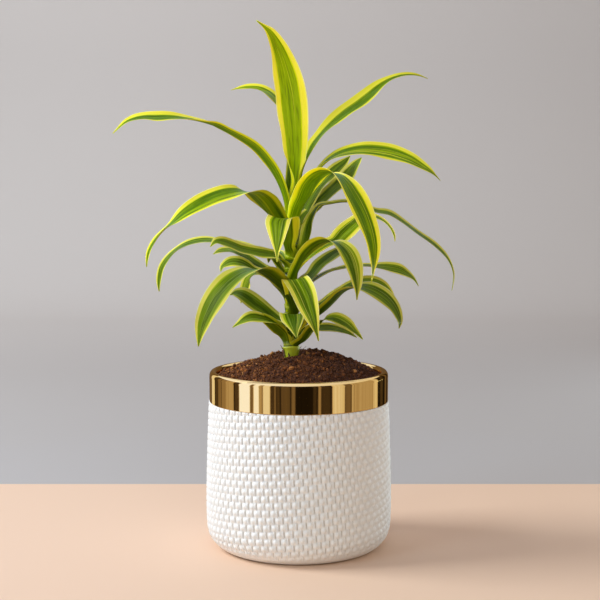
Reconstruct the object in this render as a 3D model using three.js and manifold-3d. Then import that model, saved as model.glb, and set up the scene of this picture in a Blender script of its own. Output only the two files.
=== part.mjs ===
// A potted dracaena: a round ceramic pot with a gold collar over its rim, a mound of potting soil, one cane
// and the strap leaves that grow from it, each leaf a thin channelled blade with a clasping base.
// Units are millimetres, +Z is up, and the origin is the centre of the pot's underside.
import * as THREE from "three";
import { mergeVertices } from "three/addons/utils/BufferGeometryUtils.js";
import Module from "manifold-3d";

const wasm = await Module();
wasm.setup();

// Driving dimensions
const CLEARANCE = 0.3; // air between pieces that touch on the real plant
const ROUND_STEPS = 72; // facets around the pot, the collar and the soil

const POT_HEIGHT = 139;
const RIM_RADIUS = 70;
const BELLY_RADIUS = 72.4;
const BELLY_HEIGHT = 36;
const FOOT_RADIUS = 56; // edge of the flat underside
const FOOT_CORNER_HEIGHT = 21;
const FLOOR_THICKNESS = 8;
const WALL_THICKNESS = 5;
const WALL_CURVE = 1.5; // power of the wall's gentle narrowing away from the belly
const BELLY_TO_FOOT_NARROWING = 0.4;
const INSIDE_CORNER = 14; // rounding between the wall and the floor inside
const CERAMIC_EDGE = 1.5; // rounding of the ceramic lip under the gold

const BAND_LOWER_EDGE = 115.5;
const BAND_THICKNESS = 0.9;
const BAND_INNER_EDGE = 127; // how far down inside the lip the gold reaches
const LIP_ROUNDING = 2.6;

const SOIL_EDGE_HEIGHT = 134.5;
const SOIL_CROWN_HEIGHT = 154;
const SOIL_MOUND_POWER = 2.1;
const SOIL_LUMP = 0.9; // height of the mound's uneven relief
const SOIL_DIP = 6; // hollow pressed around the cane
const SOIL_DIP_WIDTH = 16;
const SOIL_RINGS = 9;

const CANE_X = -6; // the cane stands a little left of the pot's axis
const CANE_RADIUS = 4.4;
const CANE_COLLAR_RADIUS = 6.6; // swelling where the cane enters the soil
const CANE_COLLAR_TOP = 154;
const CANE_COLLAR_TAPER = 8;
const CANE_TAPER_START = 240; // from here up the cane narrows to its growing tip
const CANE_TIP_RADIUS = 2;
const CANE_TOP = 272;
const CANE_ROOT_END = 92;
const CANE_EDGE = 1.5; // bevel at both ends
const CANE_STEPS = 20;

const BLADE_THICKNESS = 0.7;
const BLADE_STEP = 10; // length of blade to each segment
const BLADE_FEWEST_STEPS = 7;
const BLADE_MOST_STEPS = 13;
const BLADE_ACROSS = 4;
const SHEATH_WIDTH = 7.4;
const SHEATH_RISE = 5; // how far each leaf base runs up the cane before it bends away
const SHEATH_SWELL = 0.3; // share of the way to the first station's width, at the end of the rise
const SHEATH_ROLL = 0.15; // share of the first station's roll, at the end of the rise
const TIP_WIDTH = 1;
const BLADE_CHANNEL = 0.34; // half angle of the blade's hollow, in radians

// Places along a blade, as shares of its length from base to tip
const HEADING_REACHED_AT = 0.35;
const OPENING_SPAN = [0.04, 0.3]; // from clasping the cane to the blade's shallow hollow

const COLOURS = {
  ceramic: 0xe9e6df,
  gold: 0xc79a45,
  soil: 0x3a241a,
  cane: 0x86a52e,
  youngLeaf: 0x8fb51c,
  leaf: 0x5f8a22,
};

// Leaves from the top of the plant down. sheath is the height on the cane where the leaf's base starts,
// heading the direction in plan, in degrees, that the blade grows in (0 is +X, 90 is +Y, the far side), and
// rows the blade's stations: the middle's x, y and z, the width there, and the roll in degrees that turns the
// blade about its middle line.
const LEAVES = [
  { name: "leaf_top", sheath: 266, heading: 88, young: true,
    rows: [[-4.6, 7, 283.5, 12, 30], [-4, 6.7, 296.7, 16.2, 39], [-3.4, 8, 312.2, 20.4, 22],
      [-4, 9, 328.4, 23.5, 17], [-5.4, 9.5, 345.4, 25.1, 11], [-7.8, 9, 361.5, 24.5, 15],
      [-12, 8, 377.9, 20.5, 26], [-16.8, 7, 390.6, 15.5, 33], [-22.1, 5.5, 400.5, 9.5, 48],
      [-25.9, 4, 404.3, 5, 60], [-32.4, 2, 409.2, 1, 60]] },
  { name: "leaf_back_left_high", sheath: 248, heading: 125, young: true,
    rows: [[-9, 11, 272, 12, 19], [-6, 20, 306, 14, 17], [-10.2, 38, 338.4, 15, 13],
      [-16.9, 47, 349.9, 15.5, 10], [-25.2, 55, 358.3, 15.5, 0], [-33.3, 62, 362.3, 14.5, -14],
      [-41.3, 68, 363.5, 12, -23], [-48.3, 72, 363.2, 8, -31], [-56.1, 75, 361.7, 1, -31]] },
  { name: "leaf_right_upper", sheath: 261, heading: 28, young: true,
    rows: [[-1.2, 9.8, 274.9, 6, -16], [2.6, 8.1, 293.2, 12, -13], [6.3, 11, 305.3, 14, -4],
      [10.6, 14, 314.5, 15.5, 4], [17.5, 19, 323.4, 16, 5], [27.1, 26, 333.3, 16.5, 17],
      [36.4, 32, 341, 17, 25], [47, 38, 348.6, 17, 30], [56.8, 43, 356.5, 16.5, 24],
      [66.1, 48, 364.1, 15.5, 15], [74.4, 52, 369.2, 14, 10], [82.9, 55, 372.2, 12, 14],
      [91.2, 57, 372.9, 9, 22], [98.4, 58, 371.9, 5, 28], [105.2, 59, 369.7, 1, 28]] },
  { name: "leaf_right_arch", sheath: 254, heading: 352, young: true,
    rows: [[4, -2.9, 277.7, 7.2, 23], [11.1, 3.9, 289.7, 13.9, 20], [16.9, 5, 297.2, 16, 11],
      [23.9, 6, 303.3, 17.5, 15], [31.5, 6, 307.2, 18.5, 24], [40.3, 6, 309.6, 19, 31],
      [49.9, 5.5, 310.6, 19, 36], [60.4, 5, 310, 19, 38], [70.6, 3, 308.3, 18.5, 42],
      [79.7, -0, 305.5, 17, 43], [87.5, -3, 302.2, 14.5, 42], [94.3, -5, 298.2, 11.5, 37],
      [100.1, -7, 294.6, 8, 29], [104.8, -8, 290.8, 4, 17], [108.8, -8, 286.9, 1, 17]] },
  { name: "leaf_left_long", sheath: 256, heading: 187, young: true,
    rows: [[-11.9, -3, 276.2, 10, 14], [-17.3, -3.5, 289.8, 12.5, 21], [-24.4, -4.5, 301.5, 14.5, 26],
      [-33.6, -5.5, 311.6, 15.5, 25], [-44.4, -7, 319, 16, 18], [-53.7, -8, 324, 16, 15],
      [-62.5, -8.5, 328.2, 16, 14], [-70.8, -9, 331.1, 16, -6], [-78.8, -9.5, 333, 15.5, -12],
      [-88.6, -10.5, 334.4, 15.5, -17], [-98, -12, 335.1, 15.5, -25], [-107.8, -13, 334.9, 15.5, -33],
      [-117.2, -14, 335, 14.5, -29], [-124.7, -15, 333.7, 12, -27], [-130.7, -15.5, 331.5, 8, -26],
      [-135.4, -16, 327.9, 4.5, -29], [-141.2, -16, 322.4, 1, -29]] },
  { name: "leaf_right_drop", sheath: 244, heading: 320, young: true,
    rows: [[0.9, -11, 265.4, 20, 5], [4.6, -16, 273.4, 22, -3], [8.4, -22, 282.7, 23.5, -7],
      [13.4, -27, 288.7, 24.5, -6], [19, -32, 292.1, 24.5, -7], [24.7, -37, 292.8, 24.5, -10],
      [29.9, -41, 290.9, 24.5, -9], [34.8, -45, 285.3, 24, -1], [39.5, -48, 277.3, 23.5, 7],
      [44.4, -51, 268.3, 22.5, 10], [48.6, -53, 259, 21, 10], [52, -54, 249.3, 18.5, 11],
      [54.3, -55, 239.2, 14.5, 9], [55.1, -56, 229.5, 9.5, 6], [54.7, -56, 220.5, 4.5, -6],
      [53.5, -56, 212.4, 1, -6]] },
  { name: "leaf_left_arch", sheath: 240, heading: 208, young: true,
    rows: [[-16.4, -12, 256.3, 18, 18], [-21.1, -19, 263.6, 21, 25], [-25.7, -25, 270.1, 22, 28],
      [-29.2, -32, 274.2, 22, 23], [-33.2, -40, 277.3, 22, 10], [-40.4, -47, 278.7, 22, -11],
      [-50.4, -53, 277.7, 21.5, -25], [-61.1, -58, 274.6, 20.5, -30], [-72.5, -62, 269, 18.5, -31],
      [-82.8, -65, 262.9, 16, -20], [-90.6, -67, 256.6, 13.5, -5], [-97.5, -68, 251.2, 11, 9],
      [-104.4, -68, 242.7, 8.5, 1], [-108.3, -68, 236, 6.5, -4], [-109.8, -68, 230.6, 4, -11],
      [-110.3, -68, 224.2, 1, -11]] },
  { name: "leaf_right_behind", sheath: 240, heading: 42,
    rows: [[5.8, 7.1, 258.8, 7.9, 6], [12, 8.5, 263.1, 8.3, 7], [17.8, 14.9, 269.8, 11.5, 6],
      [24.4, 21.9, 277.2, 17.1, 10], [31.9, 28, 283.7, 18, 10], [38.2, 34, 290.1, 17.5, 11],
      [43.6, 39, 297.3, 14.5, 6], [47.4, 43, 302.3, 9, 7], [50.7, 46, 305.6, 1, 7]] },
  { name: "leaf_back_high", sheath: 231, heading: 84,
    rows: [[-6.8, 13.5, 251.9, 11.9, 0], [-3.2, 28.1, 264, 20, 0], [-0, 50, 264, 17.6, 0],
      [3, 68, 246, 1, 0]] },
  { name: "leaf_front_top", sheath: 226, heading: 264,
    rows: [[-9.1, -11.6, 236.7, 12, -18], [-8.9, -18, 245.5, 17.4, -8], [-10.5, -26, 253, 23, -6],
      [-11.6, -33, 258.6, 24, -4], [-14.3, -40, 256.7, 22, 11], [-14.9, -44, 252.1, 18.8, 10],
      [-15.3, -46.5, 245.9, 14, 12], [-15.7, -48, 239.6, 8.6, 13], [-16, -49, 233.4, 3.4, 23],
      [-15.8, -50, 226.8, 1, 23]] },
  { name: "leaf_right_thin", sheath: 226, heading: 358,
    rows: [[4.2, -3.8, 235.2, 6.8, 55], [7.2, -2.6, 245.6, 13, 62], [9.7, -1.7, 255.9, 12.1, 39],
      [12.9, -0.2, 262.8, 13.3, 23], [16.4, 0.9, 267.4, 13.8, 14], [24.9, 3, 269.4, 14, 5],
      [34.5, 4, 270.7, 14, 5], [46.6, 6, 269.7, 14, 9], [60, 7, 263.2, 13.5, 14],
      [70.6, 8, 261.1, 13.5, 18], [81.9, 9, 254.4, 13.5, 15], [93.9, 9, 245.6, 13, 15],
      [107.7, 9, 235.4, 12, 17], [117.3, 9, 225.4, 10, 13], [121.5, 9, 215.1, 7, 14],
      [121.5, 9, 207.5, 4, 18], [120.5, 8, 200.8, 1, 18]] },
  { name: "leaf_back_mid_left", sheath: 214, heading: 116,
    rows: [[-11.6, 12, 224.1, 9.4, 0], [-16.9, 26.1, 230, 13, 0], [-22, 44, 229, 10.3, 0],
      [-25, 56, 220, 1, 0]] },
  { name: "leaf_left_mid", sheath: 216, heading: 205,
    rows: [[-16.8, -6, 228.8, 11, -34], [-22.5, -9, 230.4, 12, -39], [-29, -12, 231.4, 13, -45],
      [-36.9, -16, 233, 13, -40], [-43.6, -20, 234.8, 13, -40], [-51, -24, 238.3, 12.5, -40],
      [-56.9, -27, 240.5, 11.5, -43], [-61.1, -29, 240.9, 9.5, -37], [-64, -31, 239.8, 6, -19],
      [-66.6, -31, 237.1, 1, -19]] },
  { name: "leaf_left_thin", sheath: 200.5, heading: 172,
    rows: [[-8.7, 7.9, 215.4, 3.8, 4], [-15.5, 5.7, 219.7, 7.3, -2], [-22.3, 6.3, 227.6, 9.9, -11],
      [-29.7, 8.8, 231.1, 12, -14], [-41.1, 11, 235.3, 13, -14], [-53.6, 13, 238.1, 13, -15],
      [-66.4, 14, 239.5, 13, -16], [-73.8, 15, 240, 13, -19], [-81.7, 15.5, 239, 13, -22],
      [-89.5, 16, 236.5, 12.5, -25], [-97.1, 16.5, 232.1, 12, -24], [-103.9, 17, 225.3, 10.5, -34],
      [-108.6, 17.5, 217.9, 9, -42], [-110.6, 17.5, 209.6, 7, -51], [-111, 17, 203.5, 3.5, -60],
      [-110.7, 17, 199.3, 1, -60]] },
  { name: "leaf_right_fold", sheath: 202, heading: 312,
    rows: [[-2.3, -10, 214.9, 14, 23], [1.4, -14, 223.8, 16, 17], [5.6, -19, 230.8, 17.5, 1],
      [11.2, -24, 236.5, 18.5, -7], [16.9, -29, 240.3, 19, -11], [23, -33, 241.8, 19, -12],
      [28.5, -37, 240.6, 18.5, -6], [33.1, -40, 237.2, 18.5, 2], [37.3, -42, 231.5, 18, 12],
      [40.4, -44, 224, 17, 10], [42.2, -45, 216.2, 14, 2], [43.2, -46, 209, 9, 1],
      [43.4, -47, 203.7, 4, 0], [43.3, -47, 198.3, 1, 0]] },
  { name: "leaf_right_mid", sheath: 210, heading: 32,
    rows: [[11.7, 10, 230.6, 13.3, 15], [21.5, 13, 237.2, 16, 17], [29.8, 16, 239.2, 17, 24],
      [36.7, 20, 245.8, 17, 35], [44.4, 25, 252.5, 16, 29], [52.2, 30, 257.8, 14, 26],
      [60.4, 34, 258.1, 11, 30], [69.2, 37, 254, 8, 32], [74.2, 38, 248.7, 6, 47],
      [77.1, 39, 242.7, 3.5, 66], [77.7, 39, 238, 1, 66]] },
  { name: "leaf_back_right_mid", sheath: 222, heading: 66,
    rows: [[-0.8, 9.1, 240, 7.3, -8], [4, 14, 258.3, 4.5, -7], [14.7, 22.4, 279.9, 13.1, -15],
      [22.5, 28, 288.4, 15, -5], [29.8, 33, 295.8, 14, 4], [35.9, 38, 301.2, 9, 12],
      [41.3, 42, 306.7, 1, 12]] },
  { name: "leaf_left_mid_behind", sheath: 206.5, heading: 162,
    rows: [[-23, 10.2, 213.8, 4.6, -26], [-29, 13, 218.6, 11.8, -20], [-36.6, 16, 223.1, 12.5, -19],
      [-43.6, 19, 227.6, 12.5, -17], [-51.5, 22, 231.1, 12, -19], [-58.8, 25, 231.6, 10.5, -27],
      [-64.1, 27, 230.8, 7, -39], [-68.6, 28, 228.2, 1, -39]] },
  { name: "leaf_back_mid", sheath: 194, heading: 88,
    rows: [[-10.5, 12.6, 207, 10, 0], [-9, 30, 214, 13, 0], [-9, 52, 210, 10.5, 0], [-9, 64, 196, 1, 0]] },
  { name: "leaf_left_mid_low", sheath: 198, heading: 192,
    rows: [[-22.8, -6.8, 212.4, 10, -42], [-28.9, -5.2, 215.5, 12, -32], [-35, -5, 218, 13, -26],
      [-40.8, -6, 221.8, 13, -33], [-46.1, -8, 223.9, 13, -37], [-51.9, -9, 224.2, 12.5, -35],
      [-56.1, -10, 222.5, 10.5, -31], [-58.8, -11, 220.4, 7, -23], [-60.1, -12, 217.2, 1, -23]] },
  { name: "leaf_right_mid_behind", sheath: 196, heading: 44,
    rows: [[5.8, 5.4, 208.9, 12, 18], [10.9, 11, 213.4, 13.9, 2], [16.8, 17, 220.2, 15.5, 7],
      [24.1, 23, 225.8, 15, 13], [31.4, 29, 230.2, 11.5, 17], [37.4, 34, 233, 7, 14],
      [42.1, 37, 235.3, 1, 14]] },
  { name: "leaf_front_drop", sheath: 185, heading: 288,
    rows: [[-1.9, -10.6, 199.5, 9.3, 19], [-1.3, -22.1, 207.1, 12, 10], [-2.5, -31.1, 212.6, 20.5, 6],
      [0.8, -41, 208.1, 20.9, 8], [4.2, -47, 201.3, 19.5, 9], [7.2, -52, 193.3, 16, 8],
      [10, -56, 185.6, 11, 7], [12.1, -58, 178.5, 6.5, -2], [13.6, -59.5, 173.5, 3.2, -17],
      [14.6, -60, 169.1, 1, -17]] },
  { name: "leaf_right_long_low", sheath: 183, heading: 10,
    rows: [[4.1, 4, 202.3, 10, 2], [11.2, 7, 208.2, 11, 2], [17.3, 9, 212.2, 12, 1],
      [25.4, 11, 216.2, 12.5, 1], [35.5, 13, 218.4, 13, 4], [43.7, 15, 219.5, 13, 6],
      [53.2, 16, 219.9, 13, 8], [62.4, 17, 219.1, 13, 21], [71.6, 18, 218.1, 13, 37],
      [80.1, 18, 216.3, 12.5, 43], [86.8, 19, 212.7, 10, 36], [91.3, 19, 209.2, 5.5, 35],
      [95.2, 19, 203.5, 1, 35]] },
  { name: "leaf_left_drop", sheath: 176, heading: 230,
    rows: [[-6.2, -11.2, 187.6, 14, -26], [-9.9, -14.8, 196.9, 9.3, -15], [-13.7, -18.1, 205.6, 12.7, 3],
      [-17.3, -23.9, 211.2, 19.7, 3], [-23, -31, 216.5, 23.9, 7], [-28.6, -37, 219.9, 24, 4],
      [-35, -42, 220.8, 24, -1], [-42.4, -47, 218.3, 23.5, -3], [-50.7, -52, 212.5, 23, -9],
      [-57.9, -56, 205.2, 22, -10], [-62.9, -59, 197.7, 20.5, -11], [-67.1, -61, 189.2, 17.5, -10],
      [-70.4, -62, 180.7, 13.5, -9], [-72.4, -63, 173.2, 8, -1], [-73.6, -63, 165.4, 1, -1]] },
  { name: "leaf_back_low_left", sheath: 188, heading: 135,
    rows: [[-16, 15, 203.4, 10, -3], [-23.8, 25, 210.5, 12.5, -6], [-32.8, 32, 213.4, 14, -26],
      [-39, 37, 211, 14, -58], [-41.6, 41, 205.4, 13, -80], [-43.8, 43, 198.8, 11, -91],
      [-46.3, 44, 192.5, 7, -89], [-47.1, 44, 187.6, 1, -89]] },
  { name: "leaf_right_low_behind", sheath: 168, heading: 20,
    rows: [[12.8, 6, 186.8, 12, 21], [20, 9, 190.7, 13.5, 9], [27.3, 12, 196.3, 14, 7],
      [35.2, 15, 200.9, 14.5, 11], [43.7, 18, 205, 15, 16], [52.7, 21, 206.7, 15, 25],
      [62, 23, 205.4, 14.5, 40], [69.2, 25, 201.2, 12.5, 51], [73.9, 27, 196.2, 8, 51],
      [77.7, 28, 190.7, 1, 51]] },
  { name: "leaf_left_low", sheath: 161, heading: 165,
    rows: [[-12.4, 2.4, 175.8, 13, -11], [-17.9, 5.1, 178.4, 14.7, -26], [-24.6, 8, 183.2, 17, -25],
      [-32.6, 11, 188.7, 17.5, -32], [-40.2, 14, 194.2, 17, -34], [-46.2, 16, 197.6, 14.5, -36],
      [-50.4, 18, 198.2, 10, -35], [-54.7, 19, 196.3, 1, -35]] },
  { name: "leaf_right_low", sheath: 163, heading: 332,
    rows: [[13.4, -8, 182.3, 14, -15], [20.1, -13, 188.8, 16, -9], [26.3, -18, 195.3, 17.5, -6],
      [32.4, -23, 201.7, 18.5, -6], [38.7, -28, 205.4, 19, 0], [45.2, -31, 207, 19, 12],
      [51.9, -34, 205.8, 19, 20], [58.9, -36, 202.7, 18.5, 21], [65.5, -37, 198.2, 17.5, 20],
      [71.1, -38, 192, 15.5, 15], [74.4, -39, 185.6, 12, 10], [75.9, -39, 180.7, 7.5, 5],
      [75.4, -39, 176, 1, 5]] },
  { name: "leaf_back_low", sheath: 154, heading: 84,
    rows: [[-7, 11, 164, 12.9, 0], [-5, 27, 172, 14, 0], [-3, 46, 171, 11.4, 0], [-1, 58, 160, 1, 0]] },
  { name: "leaf_front_small", sheath: 158, heading: 272,
    rows: [[-1.7, -15.4, 171.1, 5.6, -25], [-3.9, -20.2, 179.7, 20.8, -14], [-3.7, -27, 185.6, 22.5, 2],
      [-3, -35, 182.6, 19.5, 19], [-2.6, -40, 178.3, 12.7, 18], [-2.2, -42, 173.9, 6, 26],
      [-1.6, -44, 169.8, 1, 26]] },
  { name: "leaf_left_small", sheath: 157, heading: 208,
    rows: [[-10.7, -7.3, 172.8, 2.6, -24], [-13.6, -11, 177.3, 12, -20], [-20.3, -14.2, 179.6, 13.4, -20],
      [-27.9, -18.2, 181.4, 14, -31], [-34.9, -22, 182.5, 13.9, -33], [-40.5, -26, 181.3, 12, -20],
      [-44.6, -28, 179.1, 8, -13], [-50.2, -30, 175.8, 1, -13]] },
  { name: "leaf_right_base_behind", sheath: 159, heading: 8,
    rows: [[4.1, 3, 169.4, 10, 29], [10.8, 5, 171.1, 11.5, 22], [17.9, 6, 171.6, 12, 28],
      [25, 7, 171.4, 12, 31], [32.5, 8, 169.6, 10.5, 30], [38.9, 9, 167.3, 7, 32], [46, 9, 163.5, 1, 32]] },
  { name: "leaf_left_base", sheath: 152.5, heading: 192,
    rows: [[-15.2, -1.4, 166.1, 5.6, 40], [-20.9, -4.5, 171, 13.3, 48], [-26.2, -8.8, 178.7, 8.3, 47],
      [-31.3, -10.8, 182.9, 5.7, 44], [-36.1, -12, 183.5, 1, 44]] },
  { name: "leaf_right_base", sheath: 152.5, heading: 328,
    rows: [[3.7, -9, 163.3, 13, -8], [8.7, -13, 171.2, 14, -8], [14.6, -17, 177.4, 14.5, -8],
      [20.3, -20, 181.5, 14.5, 11], [25.8, -22, 182.3, 14.5, 20], [32.1, -23, 180.4, 14, 26],
      [37.6, -24, 177.1, 12.5, 22], [42, -24.5, 173.1, 8.5, 18], [45.4, -25, 170, 5, 15],
      [48.9, -25, 166, 1, 15]] },
];

const DEGREE = Math.PI / 180;
const { clamp, lerp, smoothstep } = THREE.MathUtils;

// Evenly spaced values from start to end, both included.
function spaced(start, end, steps) {
  return Array.from({ length: steps + 1 }, (_, step) => lerp(start, end, step / steps));
}

function mesh(name, geometry, colour, roughness, metalness = 0) {
  const material = new THREE.MeshStandardMaterial({ color: colour, roughness, metalness });
  const piece = new THREE.Mesh(geometry, material);
  piece.name = name;
  return piece;
}

// Turns a profile of [radius, height] pairs about the vertical axis.
function turned(profile, steps = ROUND_STEPS) {
  const points = profile.map(([radius, height]) => new THREE.Vector2(radius, height));
  return new THREE.LatheGeometry(points, steps).rotateX(Math.PI / 2);
}

// Points of a quarter ellipse from angle start to angle end, in degrees, about a centre.
function corner([centreRadius, centreHeight], reachOut, reachUp, start, end, steps = 5) {
  return spaced(start * DEGREE, end * DEGREE, steps).map((angle) => [
    centreRadius + reachOut * Math.cos(angle), centreHeight + reachUp * Math.sin(angle),
  ]);
}

function toSolid(geometry) {
  const bare = geometry.clone();
  bare.deleteAttribute("normal");
  bare.deleteAttribute("uv");
  const merged = mergeVertices(bare, 1e-4);
  return new wasm.Manifold(
    new wasm.Mesh({
      numProp: 3,
      vertProperties: new Float32Array(merged.attributes.position.array),
      triVerts: new Uint32Array(merged.index.array),
    }),
  );
}

function fromSolid(solid) {
  const { vertProperties, triVerts } = solid.getMesh();
  const geometry = new THREE.BufferGeometry();
  geometry.setAttribute("position", new THREE.BufferAttribute(vertProperties, 3));
  geometry.setIndex(new THREE.BufferAttribute(triVerts, 1));
  geometry.computeVertexNormals();
  return geometry;
}

// Outer radius of the pot at a height, from the corner of its foot up to the band.
function potRadius(height) {
  const low = height < BELLY_HEIGHT;
  const reach = low ? BELLY_HEIGHT - FOOT_CORNER_HEIGHT : BAND_LOWER_EDGE - BELLY_HEIGHT;
  const narrowing = low ? BELLY_TO_FOOT_NARROWING : BELLY_RADIUS - RIM_RADIUS;
  return BELLY_RADIUS - narrowing * (Math.abs(height - BELLY_HEIGHT) / reach) ** WALL_CURVE;
}

const NECK_RADIUS = RIM_RADIUS - BAND_THICKNESS - CLEARANCE;
const NECK_TOP = POT_HEIGHT - BAND_THICKNESS - CLEARANCE;
const INNER_RADIUS = RIM_RADIUS - WALL_THICKNESS;

function pot() {
  const cornerReach = potRadius(FOOT_CORNER_HEIGHT) - FOOT_RADIUS;
  const foot = corner([FOOT_RADIUS, FOOT_CORNER_HEIGHT], cornerReach, FOOT_CORNER_HEIGHT, -90, 0, 6);
  const shoulder = BAND_LOWER_EDGE - CLEARANCE;
  const wall = spaced(BELLY_HEIGHT, shoulder, 3).map((height) => [potRadius(height), height]);
  const edgeBase = NECK_TOP - CERAMIC_EDGE;
  const lip = [
    [NECK_RADIUS, shoulder],
    ...corner([NECK_RADIUS - CERAMIC_EDGE, edgeBase], CERAMIC_EDGE, CERAMIC_EDGE, 0, 90, 3),
    ...corner([INNER_RADIUS + CERAMIC_EDGE, edgeBase], CERAMIC_EDGE, CERAMIC_EDGE, 90, 180, 3),
  ];
  const insideCentre = [INNER_RADIUS - INSIDE_CORNER, FLOOR_THICKNESS + INSIDE_CORNER];
  const inside = corner(insideCentre, INSIDE_CORNER, INSIDE_CORNER, 0, -90, 4);
  const geometry = turned([[0, 0], ...foot, ...wall, ...lip, ...inside, [0, FLOOR_THICKNESS]]);
  return mesh("pot", geometry, COLOURS.ceramic, 0.45);
}

function goldRimBand() {
  const lipOuter = RIM_RADIUS - LIP_ROUNDING;
  const innerFace = INNER_RADIUS - CLEARANCE - BAND_THICKNESS;
  const lipInner = innerFace + LIP_ROUNDING;
  const lipBase = POT_HEIGHT - LIP_ROUNDING;
  const innerRounding = LIP_ROUNDING - BAND_THICKNESS;
  const profile = [
    [RIM_RADIUS - BAND_THICKNESS, BAND_LOWER_EDGE],
    [RIM_RADIUS, BAND_LOWER_EDGE],
    ...corner([lipOuter, lipBase], LIP_ROUNDING, LIP_ROUNDING, 0, 90, 5),
    ...corner([lipInner, lipBase], LIP_ROUNDING, LIP_ROUNDING, 90, 180, 5),
    [innerFace, BAND_INNER_EDGE],
    [innerFace + BAND_THICKNESS, BAND_INNER_EDGE],
    ...corner([lipInner, lipBase], innerRounding, innerRounding, 180, 90, 2),
    ...corner([lipOuter, lipBase], innerRounding, innerRounding, 90, 0, 2),
    [RIM_RADIUS - BAND_THICKNESS, BAND_LOWER_EDGE],
  ];
  return mesh("gold_rim_band", turned(profile), COLOURS.gold, 0.12, 1);
}

// Height of the mound's skin at a place in plan, with a low uneven relief that dies out at the pot's wall.
function soilHeight(x, y, outerRadius) {
  const share = Math.min(1, Math.hypot(x, y) / outerRadius);
  const lumps = Math.sin(0.31 * x + 1.1) * Math.cos(0.27 * y) + 0.6 * Math.sin(0.53 * y + 0.19 * x);
  const mound = (SOIL_CROWN_HEIGHT - SOIL_EDGE_HEIGHT) * (1 - share ** SOIL_MOUND_POWER);
  const dip = SOIL_DIP * Math.exp(-(((x - CANE_X) ** 2 + y * y) / SOIL_DIP_WIDTH ** 2));
  return SOIL_EDGE_HEIGHT + mound - dip + SOIL_LUMP * lumps * (1 - share ** 4);
}

function soil() {
  const fill = INNER_RADIUS - BAND_THICKNESS - 2 * CLEARANCE;
  const fillFloor = FLOOR_THICKNESS + CLEARANCE;
  const cornerCentre = [fill - INSIDE_CORNER, fillFloor + INSIDE_CORNER];
  const geometry = turned([
    [0, fillFloor],
    ...corner(cornerCentre, INSIDE_CORNER, INSIDE_CORNER, -90, 0, 4),
    ...spaced(fill, 0, SOIL_RINGS).map((radius) => [radius, SOIL_CROWN_HEIGHT]),
  ]);
  const place = geometry.attributes.position;
  for (let i = 0; i < place.count; i += 1) {
    if (place.getZ(i) > SOIL_EDGE_HEIGHT) {
      place.setZ(i, soilHeight(place.getX(i), place.getY(i), fill));
    }
  }
  const holeRadius = CANE_COLLAR_RADIUS + CLEARANCE;
  const holeDepth = CANE_TOP - CANE_ROOT_END; // it runs out above the mound
  const hole = new THREE.CylinderGeometry(holeRadius, holeRadius, holeDepth, CANE_STEPS);
  hole.rotateX(Math.PI / 2);
  hole.translate(CANE_X, 0, CANE_ROOT_END - CLEARANCE + holeDepth / 2);
  return mesh("soil", fromSolid(toSolid(geometry).subtract(toSolid(hole))), COLOURS.soil, 0.95);
}

// Radius of the cane at a height: swollen at the soil, even along its length, narrowing at the growing tip.
function caneRadius(height) {
  const swelling = 1 - smoothstep(height, CANE_COLLAR_TOP - CANE_COLLAR_TAPER, CANE_COLLAR_TOP);
  const narrowing = smoothstep(height, CANE_TAPER_START, CANE_TOP);
  return lerp(CANE_RADIUS, CANE_COLLAR_RADIUS, swelling) - narrowing * (CANE_RADIUS - CANE_TIP_RADIUS);
}

function cane() {
  const ringHeights = [
    CANE_ROOT_END + CANE_EDGE,
    ...spaced(CANE_COLLAR_TOP - CANE_COLLAR_TAPER, CANE_COLLAR_TOP, 4),
    ...spaced(CANE_TAPER_START, CANE_TOP - CANE_EDGE, 4),
  ];
  const profile = [
    [0, CANE_ROOT_END],
    [CANE_COLLAR_RADIUS - CANE_EDGE, CANE_ROOT_END],
    ...ringHeights.map((height) => [caneRadius(height), height]),
    [0, CANE_TOP],
  ];
  const piece = mesh("cane", turned(profile, CANE_STEPS), COLOURS.cane, 0.5);
  piece.position.x = CANE_X;
  return piece;
}

// Rows of numbers along a centripetal Catmull-Rom curve. The first three numbers of each row are a place.
function centripetal(rows, perSpan = 12) {
  const mix = (a, b, share) => a.map((value, i) => lerp(value, b[i], share));
  const ends = [mix(rows[1], rows[0], 2), ...rows, mix(rows.at(-2), rows.at(-1), 2)];
  const apart = (a, b) => Math.sqrt(Math.hypot(a[0] - b[0], a[1] - b[1], a[2] - b[2]));
  const made = [];
  for (let i = 1; i < ends.length - 2; i += 1) {
    const [before, here, there, after] = ends.slice(i - 1, i + 3);
    const [d0, d1, d2] = [apart(before, here), apart(here, there), apart(there, after)];
    for (const t of spaced(0, 1, perSpan).slice(0, -1)) {
      made.push(here.map((value, k) => {
        const step = there[k] - value;
        const leave = d1 * ((value - before[k]) / d0 - (there[k] - before[k]) / (d0 + d1) + step / d1);
        const arrive = d1 * (step / d1 - (after[k] - value) / (d1 + d2) + (after[k] - there[k]) / d2);
        return value + leave * t + (3 * step - 2 * leave - arrive) * t ** 2
          + (leave + arrive - 2 * step) * t ** 3;
      }));
    }
  }
  return [...made, rows.at(-1)];
}

// The rows at equal lengths along a line of rows, one to about each BLADE_STEP.
function evenly(rows) {
  const gone = [0];
  for (let i = 1; i < rows.length; i += 1) {
    const [a, b] = [rows[i - 1], rows[i]];
    gone.push(gone[i - 1] + Math.hypot(b[0] - a[0], b[1] - a[1], b[2] - a[2]));
  }
  const steps = Math.round(clamp(gone.at(-1) / BLADE_STEP, BLADE_FEWEST_STEPS, BLADE_MOST_STEPS));
  let i = 1;
  return spaced(0, gone.at(-1), steps).map((at) => {
    while (i < rows.length - 1 && gone[i] < at) i += 1;
    const share = (at - gone[i - 1]) / (gone[i] - gone[i - 1]);
    return rows[i].map((value, k) => lerp(rows[i - 1][k], value, share));
  });
}

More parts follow.
